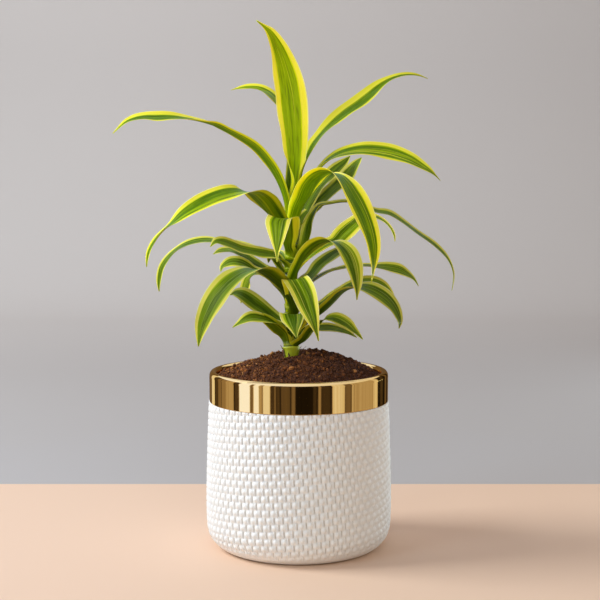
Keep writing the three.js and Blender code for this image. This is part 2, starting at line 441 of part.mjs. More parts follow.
// A closed blade: its upper skin swept along the rows, its underside set off by the thickness. It runs up
// along the cane first, then through the given rows.
function blade({ sheath, heading, rows }) {
  const [startX, startY, , firstWidth, firstRoll] = rows[0];
  const baseHeading = Math.atan2(startY, startX - CANE_X);
  const hug = caneRadius(sheath) + CLEARANCE;
  const onCane = (height, width, roll) => [
    CANE_X + hug * Math.cos(baseHeading), hug * Math.sin(baseHeading), height, width, roll,
  ];
  const sheathWidth = Math.min(SHEATH_WIDTH, firstWidth);
  const swell = lerp(sheathWidth, firstWidth, SHEATH_SWELL);
  const stations = evenly(centripetal([
    onCane(sheath, sheathWidth, 0), onCane(sheath + SHEATH_RISE, swell, SHEATH_ROLL * firstRoll), ...rows,
  ]));
  const steps = stations.length - 1;
  const middle = stations.map(([x, y, z]) => new THREE.Vector3(x, y, z));
  const swing = heading * DEGREE - baseHeading;
  const headingTurn = Math.atan2(Math.sin(swing), Math.cos(swing));
  const upper = [];
  const under = [];
  stations.forEach(([, , , width, roll], step) => {
    const share = step / steps;
    const centre = middle[step];
    const along = middle[Math.min(step + 1, steps)].clone().sub(middle[Math.max(step - 1, 0)]).normalize();
    const away = baseHeading + headingTurn * smoothstep(share, 0, HEADING_REACHED_AT);
    const across = new THREE.Vector3(Math.sin(away), -Math.cos(away), 0);
    across.addScaledVector(along, -across.dot(along)).normalize().applyAxisAngle(along, roll * DEGREE);
    const facing = new THREE.Vector3().crossVectors(across, along);
    const half = Math.max(TIP_WIDTH, width) / 2;
    const hollow = lerp(half / hug, BLADE_CHANNEL, smoothstep(share, ...OPENING_SPAN));
    const bend = half / hollow;
    const bendCentre = centre.clone().addScaledVector(facing, bend);
    for (const angle of spaced(-hollow, hollow, BLADE_ACROSS)) {
      const normal = facing.clone().multiplyScalar(Math.cos(angle)).addScaledVector(across, -Math.sin(angle));
      upper.push(bendCentre.clone().addScaledVector(normal, -bend));
      under.push(bendCentre.clone().addScaledVector(normal, -bend - BLADE_THICKNESS));
    }
  });
  return closedStrip(upper, under, steps, BLADE_ACROSS);
}

// Joins two alike grids of points, row by row, into one closed skin. Both are split into triangles alike.
function closedStrip(upper, under, rows, columns) {
  const points = [...upper, ...under];
  const index = [];
  const top = (row, column) => row * (columns + 1) + column;
  const bottom = (row, column) => upper.length + top(row, column);
  const quad = (a, b, c, d) => index.push(a, b, c, a, c, d);
  for (let row = 0; row < rows; row += 1) {
    for (let column = 0; column < columns; column += 1) {
      quad(top(row, column), top(row, column + 1), top(row + 1, column + 1), top(row + 1, column));
      index.push(bottom(row, column), bottom(row + 1, column + 1), bottom(row, column + 1));
      index.push(bottom(row, column), bottom(row + 1, column), bottom(row + 1, column + 1));
    }
    quad(top(row, 0), top(row + 1, 0), bottom(row + 1, 0), bottom(row, 0));
    quad(top(row + 1, columns), top(row, columns), bottom(row, columns), bottom(row + 1, columns));
  }
  for (let column = 0; column < columns; column += 1) {
    quad(top(0, column + 1), top(0, column), bottom(0, column), bottom(0, column + 1));
    quad(top(rows, column), top(rows, column + 1), bottom(rows, column + 1), bottom(rows, column));
  }
  const geometry = new THREE.BufferGeometry().setFromPoints(points);
  geometry.setIndex(index);
  geometry.computeVertexNormals();
  return geometry;
}

const plant = new THREE.Group();
plant.add(cane());
for (const leaf of LEAVES) {
  plant.add(mesh(leaf.name, blade(leaf), leaf.young ? COLOURS.youngLeaf : COLOURS.leaf, 0.4));
}

const pottedDracaena = new THREE.Group();
pottedDracaena.add(pot(), goldRimBand(), soil(), plant);

export default pottedDracaena;
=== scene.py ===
"""A potted dracaena: a woven-relief ceramic pot with a gold collar, crumbly potting soil, one green cane and
the yellow-edged strap leaves that clasp it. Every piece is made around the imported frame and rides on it.
Lengths in the tables are millimetres in the frame's axes; MM turns them into metres."""
import math

import bmesh
import bpy
import numpy as np
from mathutils import Euler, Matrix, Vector, noise


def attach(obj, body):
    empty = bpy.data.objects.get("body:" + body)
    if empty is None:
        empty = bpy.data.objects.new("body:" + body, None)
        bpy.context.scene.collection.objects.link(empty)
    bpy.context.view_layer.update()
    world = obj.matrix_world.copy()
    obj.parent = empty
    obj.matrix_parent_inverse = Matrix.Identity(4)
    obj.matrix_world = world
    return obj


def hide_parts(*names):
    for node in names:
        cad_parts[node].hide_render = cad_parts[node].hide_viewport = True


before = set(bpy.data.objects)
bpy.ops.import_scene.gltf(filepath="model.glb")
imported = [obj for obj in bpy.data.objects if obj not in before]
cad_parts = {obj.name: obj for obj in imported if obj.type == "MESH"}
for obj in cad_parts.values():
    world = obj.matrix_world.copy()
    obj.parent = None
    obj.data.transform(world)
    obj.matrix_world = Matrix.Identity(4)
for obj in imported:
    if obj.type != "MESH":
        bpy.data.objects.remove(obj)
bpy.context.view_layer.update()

MM = 0.001

# Driving dimensions, the same as the solids'
ROUND_STEPS = 240
POT_HEIGHT = 139.0
RIM_RADIUS = 70.0
BELLY_RADIUS = 72.4
BELLY_HEIGHT = 36.0
FOOT_RADIUS = 56.0
FOOT_CORNER_HEIGHT = 21.0
FLOOR_THICKNESS = 8.0
WALL_THICKNESS = 5.0
WALL_CURVE = 1.5
BELLY_TO_FOOT_NARROWING = 0.4
INSIDE_CORNER = 14.0
CERAMIC_EDGE = 1.5
CLEARANCE = 0.3

BAND_LOWER_EDGE = 115.5
BAND_THICKNESS = 0.9
BAND_INNER_EDGE = 127.0
LIP_ROUNDING = 2.6
LIP_RISE = 4.0
BAND_EDGE_ROUNDING = 0.2

SOIL_EDGE_HEIGHT = 134.5
SOIL_CROWN_HEIGHT = 154.0
SOIL_MOUND_POWER = 2.1
SOIL_LUMP = 0.9
SOIL_DIP = 6.0
SOIL_DIP_WIDTH = 16.0

CANE_X = -6.0
CANE_RADIUS = 4.4
CANE_COLLAR_RADIUS = 6.6
CANE_COLLAR_TOP = 154.0
CANE_COLLAR_TAPER = 8.0
CANE_TAPER_START = 240.0
CANE_TIP_RADIUS = 2.0
CANE_TOP = 272.0
CANE_ROOT_END = 92.0

SHEATH_WIDTH = 12.0
SHEATH_RISE = 5.0
SHEATH_SWELL = 0.3  # share of the way from the sheath's width to the first row's, at the end of the rise
TIP_WIDTH = 0.5
BLADE_CHANNEL = 0.34
HEADING_REACHED_AT = 0.35
OPENING_SPAN = (0.04, 0.3)

# Finer than the solids
BLADE_ROWS = 72
BLADE_COLUMNS = 18
BLADE_THICKNESS = 0.5
MIDRIB_DEPTH = 0.16
MIDRIB_WIDTH = 0.09  # share of the half width
RIPPLE = 0.55  # height of the waves along a blade's margins
RIPPLE_LENGTHS = (34, 48)
RIPPLE_POWER = 2.2  # how closely the waves keep to the margins

# The stem: height and radius up its outline, then the overlapping cups above STEM_CUPS_FROM
STEM_OUTLINE = (
    (92, 5.1), (148, 5.0), (152, 5.9), (156.9, 6.9), (157.6, 5.9), (163.2, 6.3), (163.9, 5.5), (169, 5.7),
    (176, 5.0), (240, 4.5), (258, 3.4), (272, 2.0),
)
STEM_DETAIL_FROM = 146.0
STEM_CUPS_FROM = 166.0
STEM_CUP = 4.8
STEM_CUP_TILT = 1.1
STEM_CUP_TURN = math.radians(137.5)  # from one cup to the next
STEM_FLARE = 1.05
CANE_AROUND = 48
LOW_CUP_LINES = ((156.6, 1.1), (158.4, 0.8))  # height and width of the lowest cup's pale and dark lines
# Dry scales at its foot: foot, tip and width
SCALES = (
    ((0.2, -4.6, 150.8), (5.9, -6.2, 158.4), 2.0), ((-11.4, -3.4, 150.0), (-14.2, -4.6, 159.2), 2.4),
    ((-1.6, 4.2, 150.5), (2.4, 7.8, 157.0), 2.2), ((-10.6, 3.6, 150.5), (-14.0, 6.4, 156.0), 2.0),
    ((-7.4, -6.0, 149.6), (-8.2, -8.6, 153.8), 1.8),
)

WEAVE_CELLS = 67  # ribs around the pot in each row
WEAVE_ROW = 5.45
WEAVE_RISE_ROWS = 8  # rows that the weave climbs in one turn
WEAVE_LEAN = math.radians(4.0)
WEAVE_PILLOW = 1.0
WEAVE_RIB = 1.0
WEAVE_GROOVE = 0.42
WEAVE_SINK = 0.45  # how far the relief starts below the plain wall
WEAVE_FIRST_ROW = 20  # keeps the rows' numbers positive
WEAVE_FOOT_FADE = (7.0, 20.0)  # lengths of wall from the underside's edge where the relief fades in

SOIL_SEED = 11
# Crumbs of the soil: how many, subdivisions of the round lump they start as, smallest and largest radius
CRUMBS = ((30, 3, 1.2, 1.9), (800, 2, 0.7, 1.6), (5200, 1, 0.35, 1.0))
PAINTED_SIDE_LIGHT = 0.22  # painted light and shade: crumbs paler at the left edge than in the middle, darker at the right
SOIL_AROUND = 160
SOIL_RINGS = 56
SOIL_GRAIN = 0.28  # lumps of the crown in each millimetre
SOIL_ROUGH = 1.4
SOIL_SINK = 0.5
SHOULDER_DROP = 2.6
SHOULDER_SPAN = (4, 34)  # how far left of the middle the shoulder starts and is full
HEAP_RISE = 1.6
HEAP_X = 16
HEAP_SPREAD = (9, 16)


# Shares of the half width that the yellow margins take, on the left and on the right looking from base to tip
USUAL_MARGINS = (0.36, 0.36)
# Painted light and shade: how light a leaf is made against the others, on its upper and on its under face
USUAL_PAINTED_LIGHT_AND_SHADE = (1.0, 0.85)
# How far the bright streaks spread on the youngest leaf, and on the other young ones
YOUNGEST_BRIGHT = 0.11
YOUNG_BRIGHT = -0.11


def leaf(name, sheath, heading, rows, young=False, margins=USUAL_MARGINS, painted_light_and_shade=USUAL_PAINTED_LIGHT_AND_SHADE):
    """A leaf of the table. Its last row gives the tip's place alone, and rolls as the row before it does."""
    *body, tip = rows
    return {
        "name": name, "sheath": sheath, "heading": heading, "rows": [*body, (*tip, 1, body[-1][-1])],
        "young": young, "slot": "young_leaf" if young else "mature_leaf", "margins": margins, "painted_light_and_shade": painted_light_and_shade,
    }


# Leaves from the top of the plant down: name, height of the base on the cane, heading in plan in degrees, and
# rows down the blade of x, y, z, width and roll. Roll turns the blade from level about its middle line.
LEAVES = [
    leaf("leaf_top", 266, 88, [
        (-4.7,5,283.5,14.5,49), (-3.9,6.5,296.7,17,39), (-3.4,8,312.2,20.5,22), (-4,9,328.4,23.5,17),
        (-5.4,9.5,345.4,25.1,11), (-7.8,9,361.5,24.5,15), (-12,8,377.9,20.5,26), (-16.8,7,390.6,15.5,33),
        (-22.1,5.5,400.5,9.5,48), (-25.9,4,404.3,5,60), (-32.4,2,409.2)
    ], young=True, margins=(0.36, 0.42), painted_light_and_shade=(1.46, 1.3)),
    leaf("leaf_back_left_high", 248, 125, [
        (-9,11,272,12,19), (-6,20,306,14,17), (-10.2,38,338.4,15,13), (-16.9,47,349.9,15.5,10),
        (-25.2,55,358.3,15.5,0), (-33.3,62,362.3,14.5,-14), (-41.3,68,363.5,12,-23), (-48.3,72,363.2,8,-31),
        (-56.1,75,361.7)
    ], young=True, margins=(0.36, 0.5)),
    leaf("leaf_right_upper", 261, 28, [
        (-0.2,5,274.9,11,-16), (2.3,8,293.2,12,-13), (6.3,11,305.3,14,-4), (10.6,14,314.5,15.5,4),
        (17.5,19,323.4,16,5), (27.1,26,333.3,16.5,17), (36.4,32,341,17,25), (47,38,348.6,17,30),
        (56.8,43,356.5,16.5,24), (66.1,48,364.1,15.5,15), (74.4,52,369.2,14,10), (82.9,55,372.2,12,14),
        (91.2,57,372.9,9,22), (98.4,58,371.9,5,28), (105.2,59,369.7)
    ], young=True, margins=(0.66, 0.24), painted_light_and_shade=(0.88, 0.8)),
    leaf("leaf_right_arch", 254, 352, [
        (2.9,1,277.7,12,23), (11.1,4,289.7,14,20), (16.9,5,297.2,16,11), (23.9,6,303.3,17.5,15),
        (31.5,6,307.2,18.5,24), (40.3,6,309.6,19,31), (49.9,5.5,310.6,19,36), (60.4,5,310,19,38),
        (70.6,3,308.3,18.5,42), (79.7,0,305.5,17,43), (87.5,-3,302.2,14.5,42), (94.3,-5,298.2,11.5,37),
        (100.1,-7,294.6,8,29), (104.8,-8,290.8,4,17), (108.8,-8,286.9)
    ], young=True, margins=(0.36, 0.32)),
    leaf("leaf_left_long", 256, 187, [
        (-11.9,-3,276.2,10,14), (-17.3,-3.5,289.8,12.5,21), (-24.4,-4.5,301.5,14.5,26),
        (-33.6,-5.5,311.6,15.5,25), (-44.4,-7,319,16,18), (-53.7,-8,324,16,15), (-62.5,-8.5,328.2,16,14),
        (-70.8,-9,331.1,16,-6), (-78.8,-9.5,333,15.5,-12), (-88.6,-10.5,334.4,15.5,-17),
        (-98,-12,335.1,15.5,-25), (-107.8,-13,334.9,15.5,-33), (-117.2,-14,335,14.5,-29),
        (-124.7,-15,333.7,12,-27), (-130.7,-15.5,331.5,8,-26), (-135.4,-16,327.9,4.5,-29), (-141.2,-16,322.4)
    ], young=True, margins=(0.26, 0.54), painted_light_and_shade=(1.15, 1.1)),
    leaf("leaf_right_drop", 244, 320, [
        (0.8,-11,265.3,20,5), (4.6,-16,273.4,22,-3), (8.4,-22,282.7,23.5,-7), (13.4,-27,288.7,24.5,-6),
        (19,-32,292.1,24.5,-7), (24.7,-37,292.8,24.5,-10), (29.9,-41,290.9,24.5,-9), (34.8,-45,285.3,24,-1),
        (39.5,-48,277.3,23.5,7), (44.4,-51,268.3,22.5,10), (48.6,-53,259,21,10), (52,-54,249.3,18.5,11),
        (54.3,-55,239.2,14.5,9), (55.1,-56,229.5,9.5,6), (54.7,-56,220.5,4.5,-6), (53.5,-56,212.4)
    ], young=True, margins=(0.38, 0.3), painted_light_and_shade=(1.36, 1.6)),
    leaf("leaf_left_arch", 240, 208, [
        (-16.3,-12,256.4,19,18), (-21.1,-19,263.6,21,25), (-25.7,-25,270.1,22,28), (-29.2,-32,274.2,22,23),
        (-33.2,-40,277.3,22,10), (-40.4,-47,278.7,22,-11), (-50.4,-53,277.7,21.5,-25),
        (-61.1,-58,274.6,20.5,-30), (-72.5,-62,269,18.5,-31), (-82.8,-65,262.9,16,-20),
        (-90.6,-67,256.6,13.5,-5), (-97.5,-68,251.2,11,9), (-104.4,-68,242.7,8.5,1), (-108.3,-68,236,6.5,-4),
        (-109.8,-68,230.6,4,-11), (-110.3,-68,224.2)
    ], young=True, margins=(0.32, 0.36), painted_light_and_shade=(1.12, 0.72)),
    leaf("leaf_right_behind", 240, 42, [
        (4.9,9,258.9,13,6), (10.4,12,263.3,15,7), (16.8,17,270,16.5,6), (24.4,22,277.2,17.5,10),
        (31.9,28,283.7,18,10), (38.2,34,290.1,17.5,11), (43.6,39,297.3,14.5,6), (47.4,43,302.3,9,7),
        (50.7,46,305.6)
    ], margins=(0.34, 0.3)),
    leaf("leaf_back_high", 231, 84, [
        (-5,12,252,19.5,0), (-3,28,264,20,0), (0,50,264,17.6,0), (3,68,246)
    ]),
    leaf("leaf_front_top", 226, 264, [
        (-8.6,-11,236.7,12,-18), (-8.9,-18,245.5,17.5,-8), (-10.5,-26,253,23,-6), (-11.6,-33,258.6,24,-4),
        (-14.3,-40,256.7,22,11), (-14.9,-44,252.1,18.8,10), (-15.3,-46.5,245.9,14,12),
        (-15.7,-48,239.6,8.6,13), (-16,-49,233.4,3.4,23), (-15.8,-50,226.8)
    ], margins=(0.42, 0.36), painted_light_and_shade=(1.3, 1.3)),
    leaf("leaf_right_thin", 226, 358, [
        (3.5,-3,235.2,11,55), (7,-2,245.6,13,62), (9.5,-1,255.9,14,39), (12.8,0,262.8,14,23),
        (16.3,1,267.4,14,14), (24.9,3,269.4,14,5), (34.5,4,270.7,14,5), (46.6,6,269.7,14,9),
        (60,7,263.2,13.5,14), (70.6,8,261.1,13.5,18), (81.9,9,254.4,13.5,15), (93.9,9,245.6,13,15),
        (107.7,9,235.4,12,17), (117.3,9,225.4,10,13), (121.5,9,215.1,7,14), (121.5,9,207.5,4,18),
        (120.5,8,200.8)
    ], margins=(0.4, 0.28)),
    leaf("leaf_back_mid_left", 214, 116, [
        (-12,11,224,12.5,0), (-17,26,230,13,0), (-22,44,229,10.3,0), (-25,56,220)
    ]),
    leaf("leaf_left_mid", 216, 205, [
        (-16.8,-6,228.8,11,-34), (-22.5,-9,230.4,12,-39), (-29,-12,231.4,13,-45), (-36.9,-16,233,13,-40),
        (-43.6,-20,234.8,13,-40), (-51,-24,238.3,12.5,-40), (-56.9,-27,240.5,11.5,-43),
        (-61.1,-29,240.9,9.5,-37), (-64,-31,239.8,6,-19), (-66.6,-31,237.1)
    ]),
    leaf("leaf_left_thin", 202, 172, [
        (-10.5,3,212,10,4), (-16,5,218.9,11,-2), (-21.9,7,227.7,12,-11), (-29.6,9,231.1,12.5,-14),
        (-41.1,11,235.3,13,-14), (-53.6,13,238.1,13,-15), (-66.4,14,239.5,13,-16), (-73.8,15,240,13,-19),
        (-81.7,15.5,239,13,-22), (-89.5,16,236.5,12.5,-25), (-97.1,16.5,232.1,12,-24),
        (-103.9,17,225.3,10.5,-34), (-108.6,17.5,217.9,9,-42), (-110.6,17.5,209.6,7,-51),
        (-111,17,203.5,3.5,-60), (-110.7,17,199.3)
    ], margins=(0.24, 0.34)),
    leaf("leaf_right_fold", 202, 312, [
        (-2.3,-10,214.9,14,23), (1.4,-14,223.8,16,17), (5.6,-19,230.8,17.5,1), (11.2,-24,236.5,18.5,-7),
        (16.9,-29,240.3,19,-11), (23,-33,241.8,19,-12), (28.5,-37,240.6,18.5,-6), (33.1,-40,237.2,18.5,2),
        (37.3,-42,231.5,18,12), (40.4,-44,224,17,10), (42.2,-45,216.2,14,2), (43.2,-46,209,9,1),
        (43.4,-47,203.7,4,0), (43.3,-47,198.3)
    ], painted_light_and_shade=(1.0, 1.2)),
    leaf("leaf_right_mid", 210, 32, [
        (11.6,10,230.6,14,15), (21.5,13,237.2,16,17), (29.8,16,239.2,17,24), (36.7,20,245.8,17,35),
        (44.4,25,252.5,16,29), (52.2,30,257.8,14,26), (60.4,34,258.1,11,30), (69.2,37,254,8,32),
        (74.2,38,248.7,6,47), (77.1,39,242.7,3.5,66), (77.7,39,238)
    ], margins=(0.34, 0.42), painted_light_and_shade=(1.9, 1.9)),
    leaf("leaf_back_right_mid", 222, 66, [
        (-1,8,240,10,-8), (3,13,258,11,-7), (14.9,22,279.9,14,-15), (22.5,28,288.4,15,-5),
        (29.8,33,295.8,14,4), (35.9,38,301.2,9,12), (41.3,42,306.7)
    ]),
    leaf("leaf_left_mid_behind", 202, 162, [
        (-20.2,8,214.6,10,-26), (-29,13,218.6,12,-20), (-36.6,16,223.1,12.5,-19), (-43.6,19,227.6,12.5,-17),
        (-51.5,22,231.1,12,-19), (-58.8,25,231.6,10.5,-27), (-64.1,27,230.8,7,-39), (-68.6,28,228.2)
    ]),
    leaf("leaf_back_mid", 194, 88, [
        (-10,12,207,12.3,0), (-9,30,214,13,0), (-9,52,210,10.5,0), (-9,64,196)
    ]),
    leaf("leaf_left_mid_low", 198, 192, [
        (-22.3,-4,212.7,10,-42), (-28.9,-5,215.5,12,-32), (-35,-5,218,13,-26), (-40.8,-6,221.8,13,-33),
        (-46.1,-8,223.9,13,-37), (-51.9,-9,224.2,12.5,-35), (-56.1,-10,222.5,10.5,-31),
        (-58.8,-11,220.4,7,-23), (-60.1,-12,217.2)
    ]),
    leaf("leaf_right_mid_behind", 196, 44, [
        (5.3,6,208.9,12,18), (10.8,11,213.4,14,2), (16.8,17,220.2,15.5,7), (24.1,23,225.8,15,13),
        (31.4,29,230.2,11.5,17), (37.4,34,233,7,14), (42.1,37,235.3)
    ], painted_light_and_shade=(0.55, 0.55)),
    leaf("leaf_front_drop", 185, 288, [
        (-3.6,-12,199,14.5,19), (-2.8,-22,206.8,18,10), (-2.8,-31,212.6,20.5,6), (0.8,-41,208.1,21,8),
        (4.2,-47,201.3,19.5,9), (7.2,-52,193.3,16,8), (10,-56,185.6,11,7), (12.1,-58,178.5,6.5,-2),
        (13.6,-59.5,173.5,3.2,-17), (14.6,-60,169.1)
    ], margins=(0.34, 0.38), painted_light_and_shade=(1.22, 1.36)),
    leaf("leaf_right_long_low", 183, 10, [
        (4.1,4,202.3,10,2), (11.2,7,208.2,11,2), (17.3,9,212.2,12,1), (25.4,11,216.2,12.5,1),
        (35.5,13,218.4,13,4), (43.7,15,219.5,13,6), (53.2,16,219.9,13,8), (62.4,17,219.1,13,21),
        (71.6,18,218.1,13,37), (80.1,18,216.3,12.5,43), (86.8,19,212.7,10,36), (91.3,19,209.2,5.5,35),
        (95.2,19,203.5)
    ]),
    leaf("leaf_left_drop", 176, 230, [
        (-5.4,-9,187.9,14,-37), (-7.7,-13,197.5,16.5,-15), (-12,-18,206.1,19.5,3), (-16.9,-24,211.3,22,3),
        (-23,-31,216.6,24,7), (-28.6,-37,219.9,24,4), (-35,-42,220.8,24,-1), (-42.4,-47,218.3,23.5,-3),
        (-50.7,-52,212.5,23,-9), (-57.9,-56,205.2,22,-10), (-62.9,-59,197.7,20.5,-11),
        (-67.1,-61,189.2,17.5,-10), (-70.4,-62,180.7,13.5,-9), (-72.4,-63,173.2,8,-1), (-73.6,-63,165.4)
    ], margins=(0.32, 0.38), painted_light_and_shade=(0.82, 0.62)),
    leaf("leaf_back_low_left", 188, 135, [
        (-16,15,203.4,10,-3), (-23.8,25,210.5,12.5,-6), (-32.8,32,213.4,14,-26), (-39,37,211,14,-58),
        (-41.6,41,205.4,13,-80), (-43.8,43,198.8,11,-91), (-46.3,44,192.5,7,-89), (-47.1,44,187.6)
    ]),
    leaf("leaf_right_low_behind", 168, 20, [
        (12.8,6,186.8,12,21), (20,9,190.7,13.5,9), (27.3,12,196.3,14,7), (35.2,15,200.9,14.5,11),
        (43.7,18,205,15,16), (52.7,21,206.7,15,25), (62,23,205.4,14.5,40), (69.2,25,201.2,12.5,51),
        (73.9,27,196.2,8,51), (77.7,28,190.7)
    ]),
    leaf("leaf_left_low", 161, 165, [
        (-12.3,2,175.8,13,-11), (-17.9,5,178.4,15,-26), (-24.6,8,183.2,17,-25), (-32.6,11,188.7,17.5,-32),
        (-40.2,14,194.2,17,-34), (-46.2,16,197.6,14.5,-36), (-50.4,18,198.2,10,-35), (-54.7,19,196.3)
    ], painted_light_and_shade=(0.68, 0.68)),
    leaf("leaf_right_low", 163, 332, [
        (13.4,-8,182.3,14,-15), (20.1,-13,188.8,16,-9), (26.3,-18,195.3,17.5,-6), (32.4,-23,201.7,18.5,-6),
        (38.7,-28,205.4,19,0), (45.2,-31,207,19,12), (51.9,-34,205.8,19,20), (58.9,-36,202.7,18.5,21),
        (65.5,-37,198.2,17.5,20), (71.1,-38,192,15.5,15), (74.4,-39,185.6,12,10), (75.9,-39,180.7,7.5,5),
        (75.4,-39,176)
    ], painted_light_and_shade=(0.76, 0.76)),
    leaf("leaf_back_low", 154, 84, [
        (-7,11,164,12.9,0), (-5,27,172,14,0), (-3,46,171,11.4,0), (-1,58,160)
    ]),
    leaf("leaf_front_small", 158, 272, [
        (-5.2,-12,171.8,13,-25), (-4,-20,179.7,20.8,-14), (-3.8,-27,185.6,22.5,2), (-3,-35,182.6,19.5,19),
        (-2.6,-40,178.3,12.7,18), (-2.2,-42,173.9,6,26), (-1.6,-44,169.8)
    ], margins=(0.26, 0.3)),
    leaf("leaf_left_small", 157, 208, [
        (-8.3,-5,171,10,-46), (-14.5,-9,176,12,-20), (-21.4,-13,178.8,13.5,-20), (-28.2,-18,181.3,14,-31),
        (-34.9,-22,182.5,14,-33), (-40.5,-26,181.3,12,-20), (-44.6,-28,179.1,8,-13), (-50.2,-30,175.8)
    ]),
    leaf("leaf_right_base_behind", 159, 8, [
        (4.1,3,169.4,10,29), (10.8,5,171.1,11.5,22), (17.9,6,171.6,12,28), (25,7,171.4,12,31),
        (32.5,8,169.6,10.5,30), (38.9,9,167.3,7,32), (46,9,163.5)
    ]),
    leaf("leaf_left_base", 152.5, 192, [
        (-12,-5,167.1,13,40), (-17.6,-8,172.8,13.5,48), (-25.1,-10,179.4,11,47), (-31.1,-11,183,6,44),
        (-36.1,-12,183.5)
    ]),
    leaf("leaf_right_base", 152.5, 328, [
        (3.7,-9,163.3,13,-8), (8.7,-13,171.2,14,-8), (14.6,-17,177.4,14.5,-8), (20.3,-20,181.5,14.5,11),
        (25.8,-22,182.3,14.5,20), (32.1,-23,180.4,14,26), (37.6,-24,177.1,12.5,22), (42,-24.5,173.1,8.5,18),
        (45.4,-25,170,5,15), (48.9,-25,166)
    ]),
]


# Small maths

def smoothstep(x, low, high):
    share = np.clip((np.asarray(x, float) - low) / (high - low), 0.0, 1.0)
    return share * share * (3 - 2 * share)


def lerp(a, b, share):
    return a + (b - a) * share


def unit(vectors):
    return vectors / np.linalg.norm(vectors, axis=-1, keepdims=True)


def corner(centre, reach, rise, start, end, steps):
    """Points of part of an ellipse, from angle start to end in degrees, about a (radius, height) centre."""
    angles = np.radians(np.linspace(start, end, steps + 1))
    return [(centre[0] + reach * math.cos(a), centre[1] + rise * math.sin(a)) for a in angles]


def lengths_along(points):
    """The length gone at each point of a line."""
    return np.concatenate([[0], np.cumsum(np.linalg.norm(np.diff(points, axis=0), axis=1))])


def full_turn(count):
    """Angles evenly round a circle."""
    return np.linspace(0, 2 * math.pi, count, endpoint=False)


def circle(radius, angles, height):
    return np.column_stack([radius * np.cos(angles), radius * np.sin(angles), np.full(len(angles), height)])


def centripetal(rows, per_span=30):
    """Rows on a centripetal Catmull-Rom curve through the given ones, which each start with a place."""
    p = np.array(rows, float)
    p = np.vstack([2 * p[0] - p[1], p, 2 * p[-1] - p[-2]])
    made = []
    for i in range(1, len(p) - 2):
        before, here, there, after = p[i - 1: i + 3]
        d0 = math.sqrt(np.linalg.norm((here - before)[:3]))
        d1 = math.sqrt(np.linalg.norm((there - here)[:3]))
        d2 = math.sqrt(np.linalg.norm((after - there)[:3]))
        leave = ((here - before) / d0 - (there - before) / (d0 + d1) + (there - here) / d1) * d1
        arrive = ((there - here) / d1 - (after - here) / (d1 + d2) + (after - there) / d2) * d1
        t = np.linspace(0, 1, per_span, endpoint=False)[:, None]
        made.append(
            here + leave * t + (3 * (there - here) - 2 * leave - arrive) * t**2
            + (2 * (here - there) + leave + arrive) * t**3
        )
    made.append(p[-2:-1])
    return np.vstack(made)


def evenly(rows, count):
    """count rows at equal lengths along a line of rows, and the line's length."""
    gone = lengths_along(rows[:, :3])
    at = np.linspace(0, gone[-1], count)
    return np.stack([np.interp(at, gone, column) for column in rows.T], axis=1), gone[-1]


def turned_about(vectors, axes, angles):
    """Each vector rotated about its own unit axis."""
    cos, sin = np.cos(angles)[:, None], np.sin(angles)[:, None]
    along = np.sum(vectors * axes, axis=1, keepdims=True)
    return vectors * cos + np.cross(axes, vectors) * sin + axes * along * (1 - cos)


# Mesh building

def add_object(name, data):
    piece = bpy.data.objects.new(name, data)
    bpy.context.scene.collection.objects.link(piece)
    return piece


def new_mesh(name, points, faces, materials, slot_of_face=None, smooth=True):
    mesh = bpy.data.meshes.new(name)
    mesh.from_pydata((np.asarray(points) * MM).tolist(), [], faces)
    for material in materials:
        mesh.materials.append(material)
    if slot_of_face is not None:
        mesh.polygons.foreach_set("material_index", np.asarray(slot_of_face, np.int32))
    mesh.polygons.foreach_set("use_smooth", np.full(len(mesh.polygons), smooth))
    mesh.update()
    return add_object(name, mesh)


def point_values(piece, name, values):
    attribute = piece.data.attributes.new(name, "FLOAT", "POINT")
    attribute.data.foreach_set("value", np.asarray(values, np.float32))


def place(piece, slot, *nodes):
    """Puts a finished piece on the plant's one body, in place of its plain solids."""
    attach(piece, "root")
    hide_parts(*nodes)
    return piece


def grid_faces(rows, around, offset=0):
    """Quads over a grid of rows x around points, which closes on itself around."""
    faces = []
    for row in range(rows - 1):
        for column in range(around):
            a = offset + row * around + column
            b = offset + row * around + (column + 1) % around
            faces.append((a, b, b + around, a + around))
    return faces


def tube_faces(rows, around, offset=0):
    """The same with a face over each open end."""
    last = offset + (rows - 1) * around
    faces = grid_faces(rows, around, offset)
    faces.append(tuple(reversed(range(offset, offset + around))))
    faces.append(tuple(range(last, last + around)))
    return faces


def turned(name, profile, material):
    """A closed profile of (radius, height) points turned about +Z."""
    points = np.concatenate([circle(radius, full_turn(ROUND_STEPS), height) for radius, height in profile])
    faces = grid_faces(len(profile), ROUND_STEPS)
    last = (len(profile) - 1) * ROUND_STEPS
    for a in range(ROUND_STEPS):
        b = (a + 1) % ROUND_STEPS
        faces.append((last + a, last + b, b, a))
    return new_mesh(name, points, faces, [material])


# Camera, lights and stage

CAMERA_LENS = 77.16
CAMERA_PLACE = (0.001, -1.0, 0.284)
CAMERA_DIP = 5.14  # degrees below level


def camera():
    data = bpy.data.cameras.new("camera")
    data.lens = CAMERA_LENS
    data.clip_start, data.clip_end = 0.05, 20
    piece = add_object("camera", data)
    piece.location = CAMERA_PLACE
    piece.rotation_euler = (math.radians(90 - CAMERA_DIP), 0, 0)
    bpy.context.scene.camera = piece


def softbox(name, place_at, aim, width, height, power, colour):
    data = bpy.data.lights.new(name, "AREA")
    data.shape = "RECTANGLE"
    data.size, data.size_y = width, height
    data.energy = power
    data.color = colour
    piece = add_object(name, data)
    piece.location = place_at
    piece.rotation_euler = (Vector(aim) - Vector(place_at)).to_track_quat("-Z", "Y").to_euler()


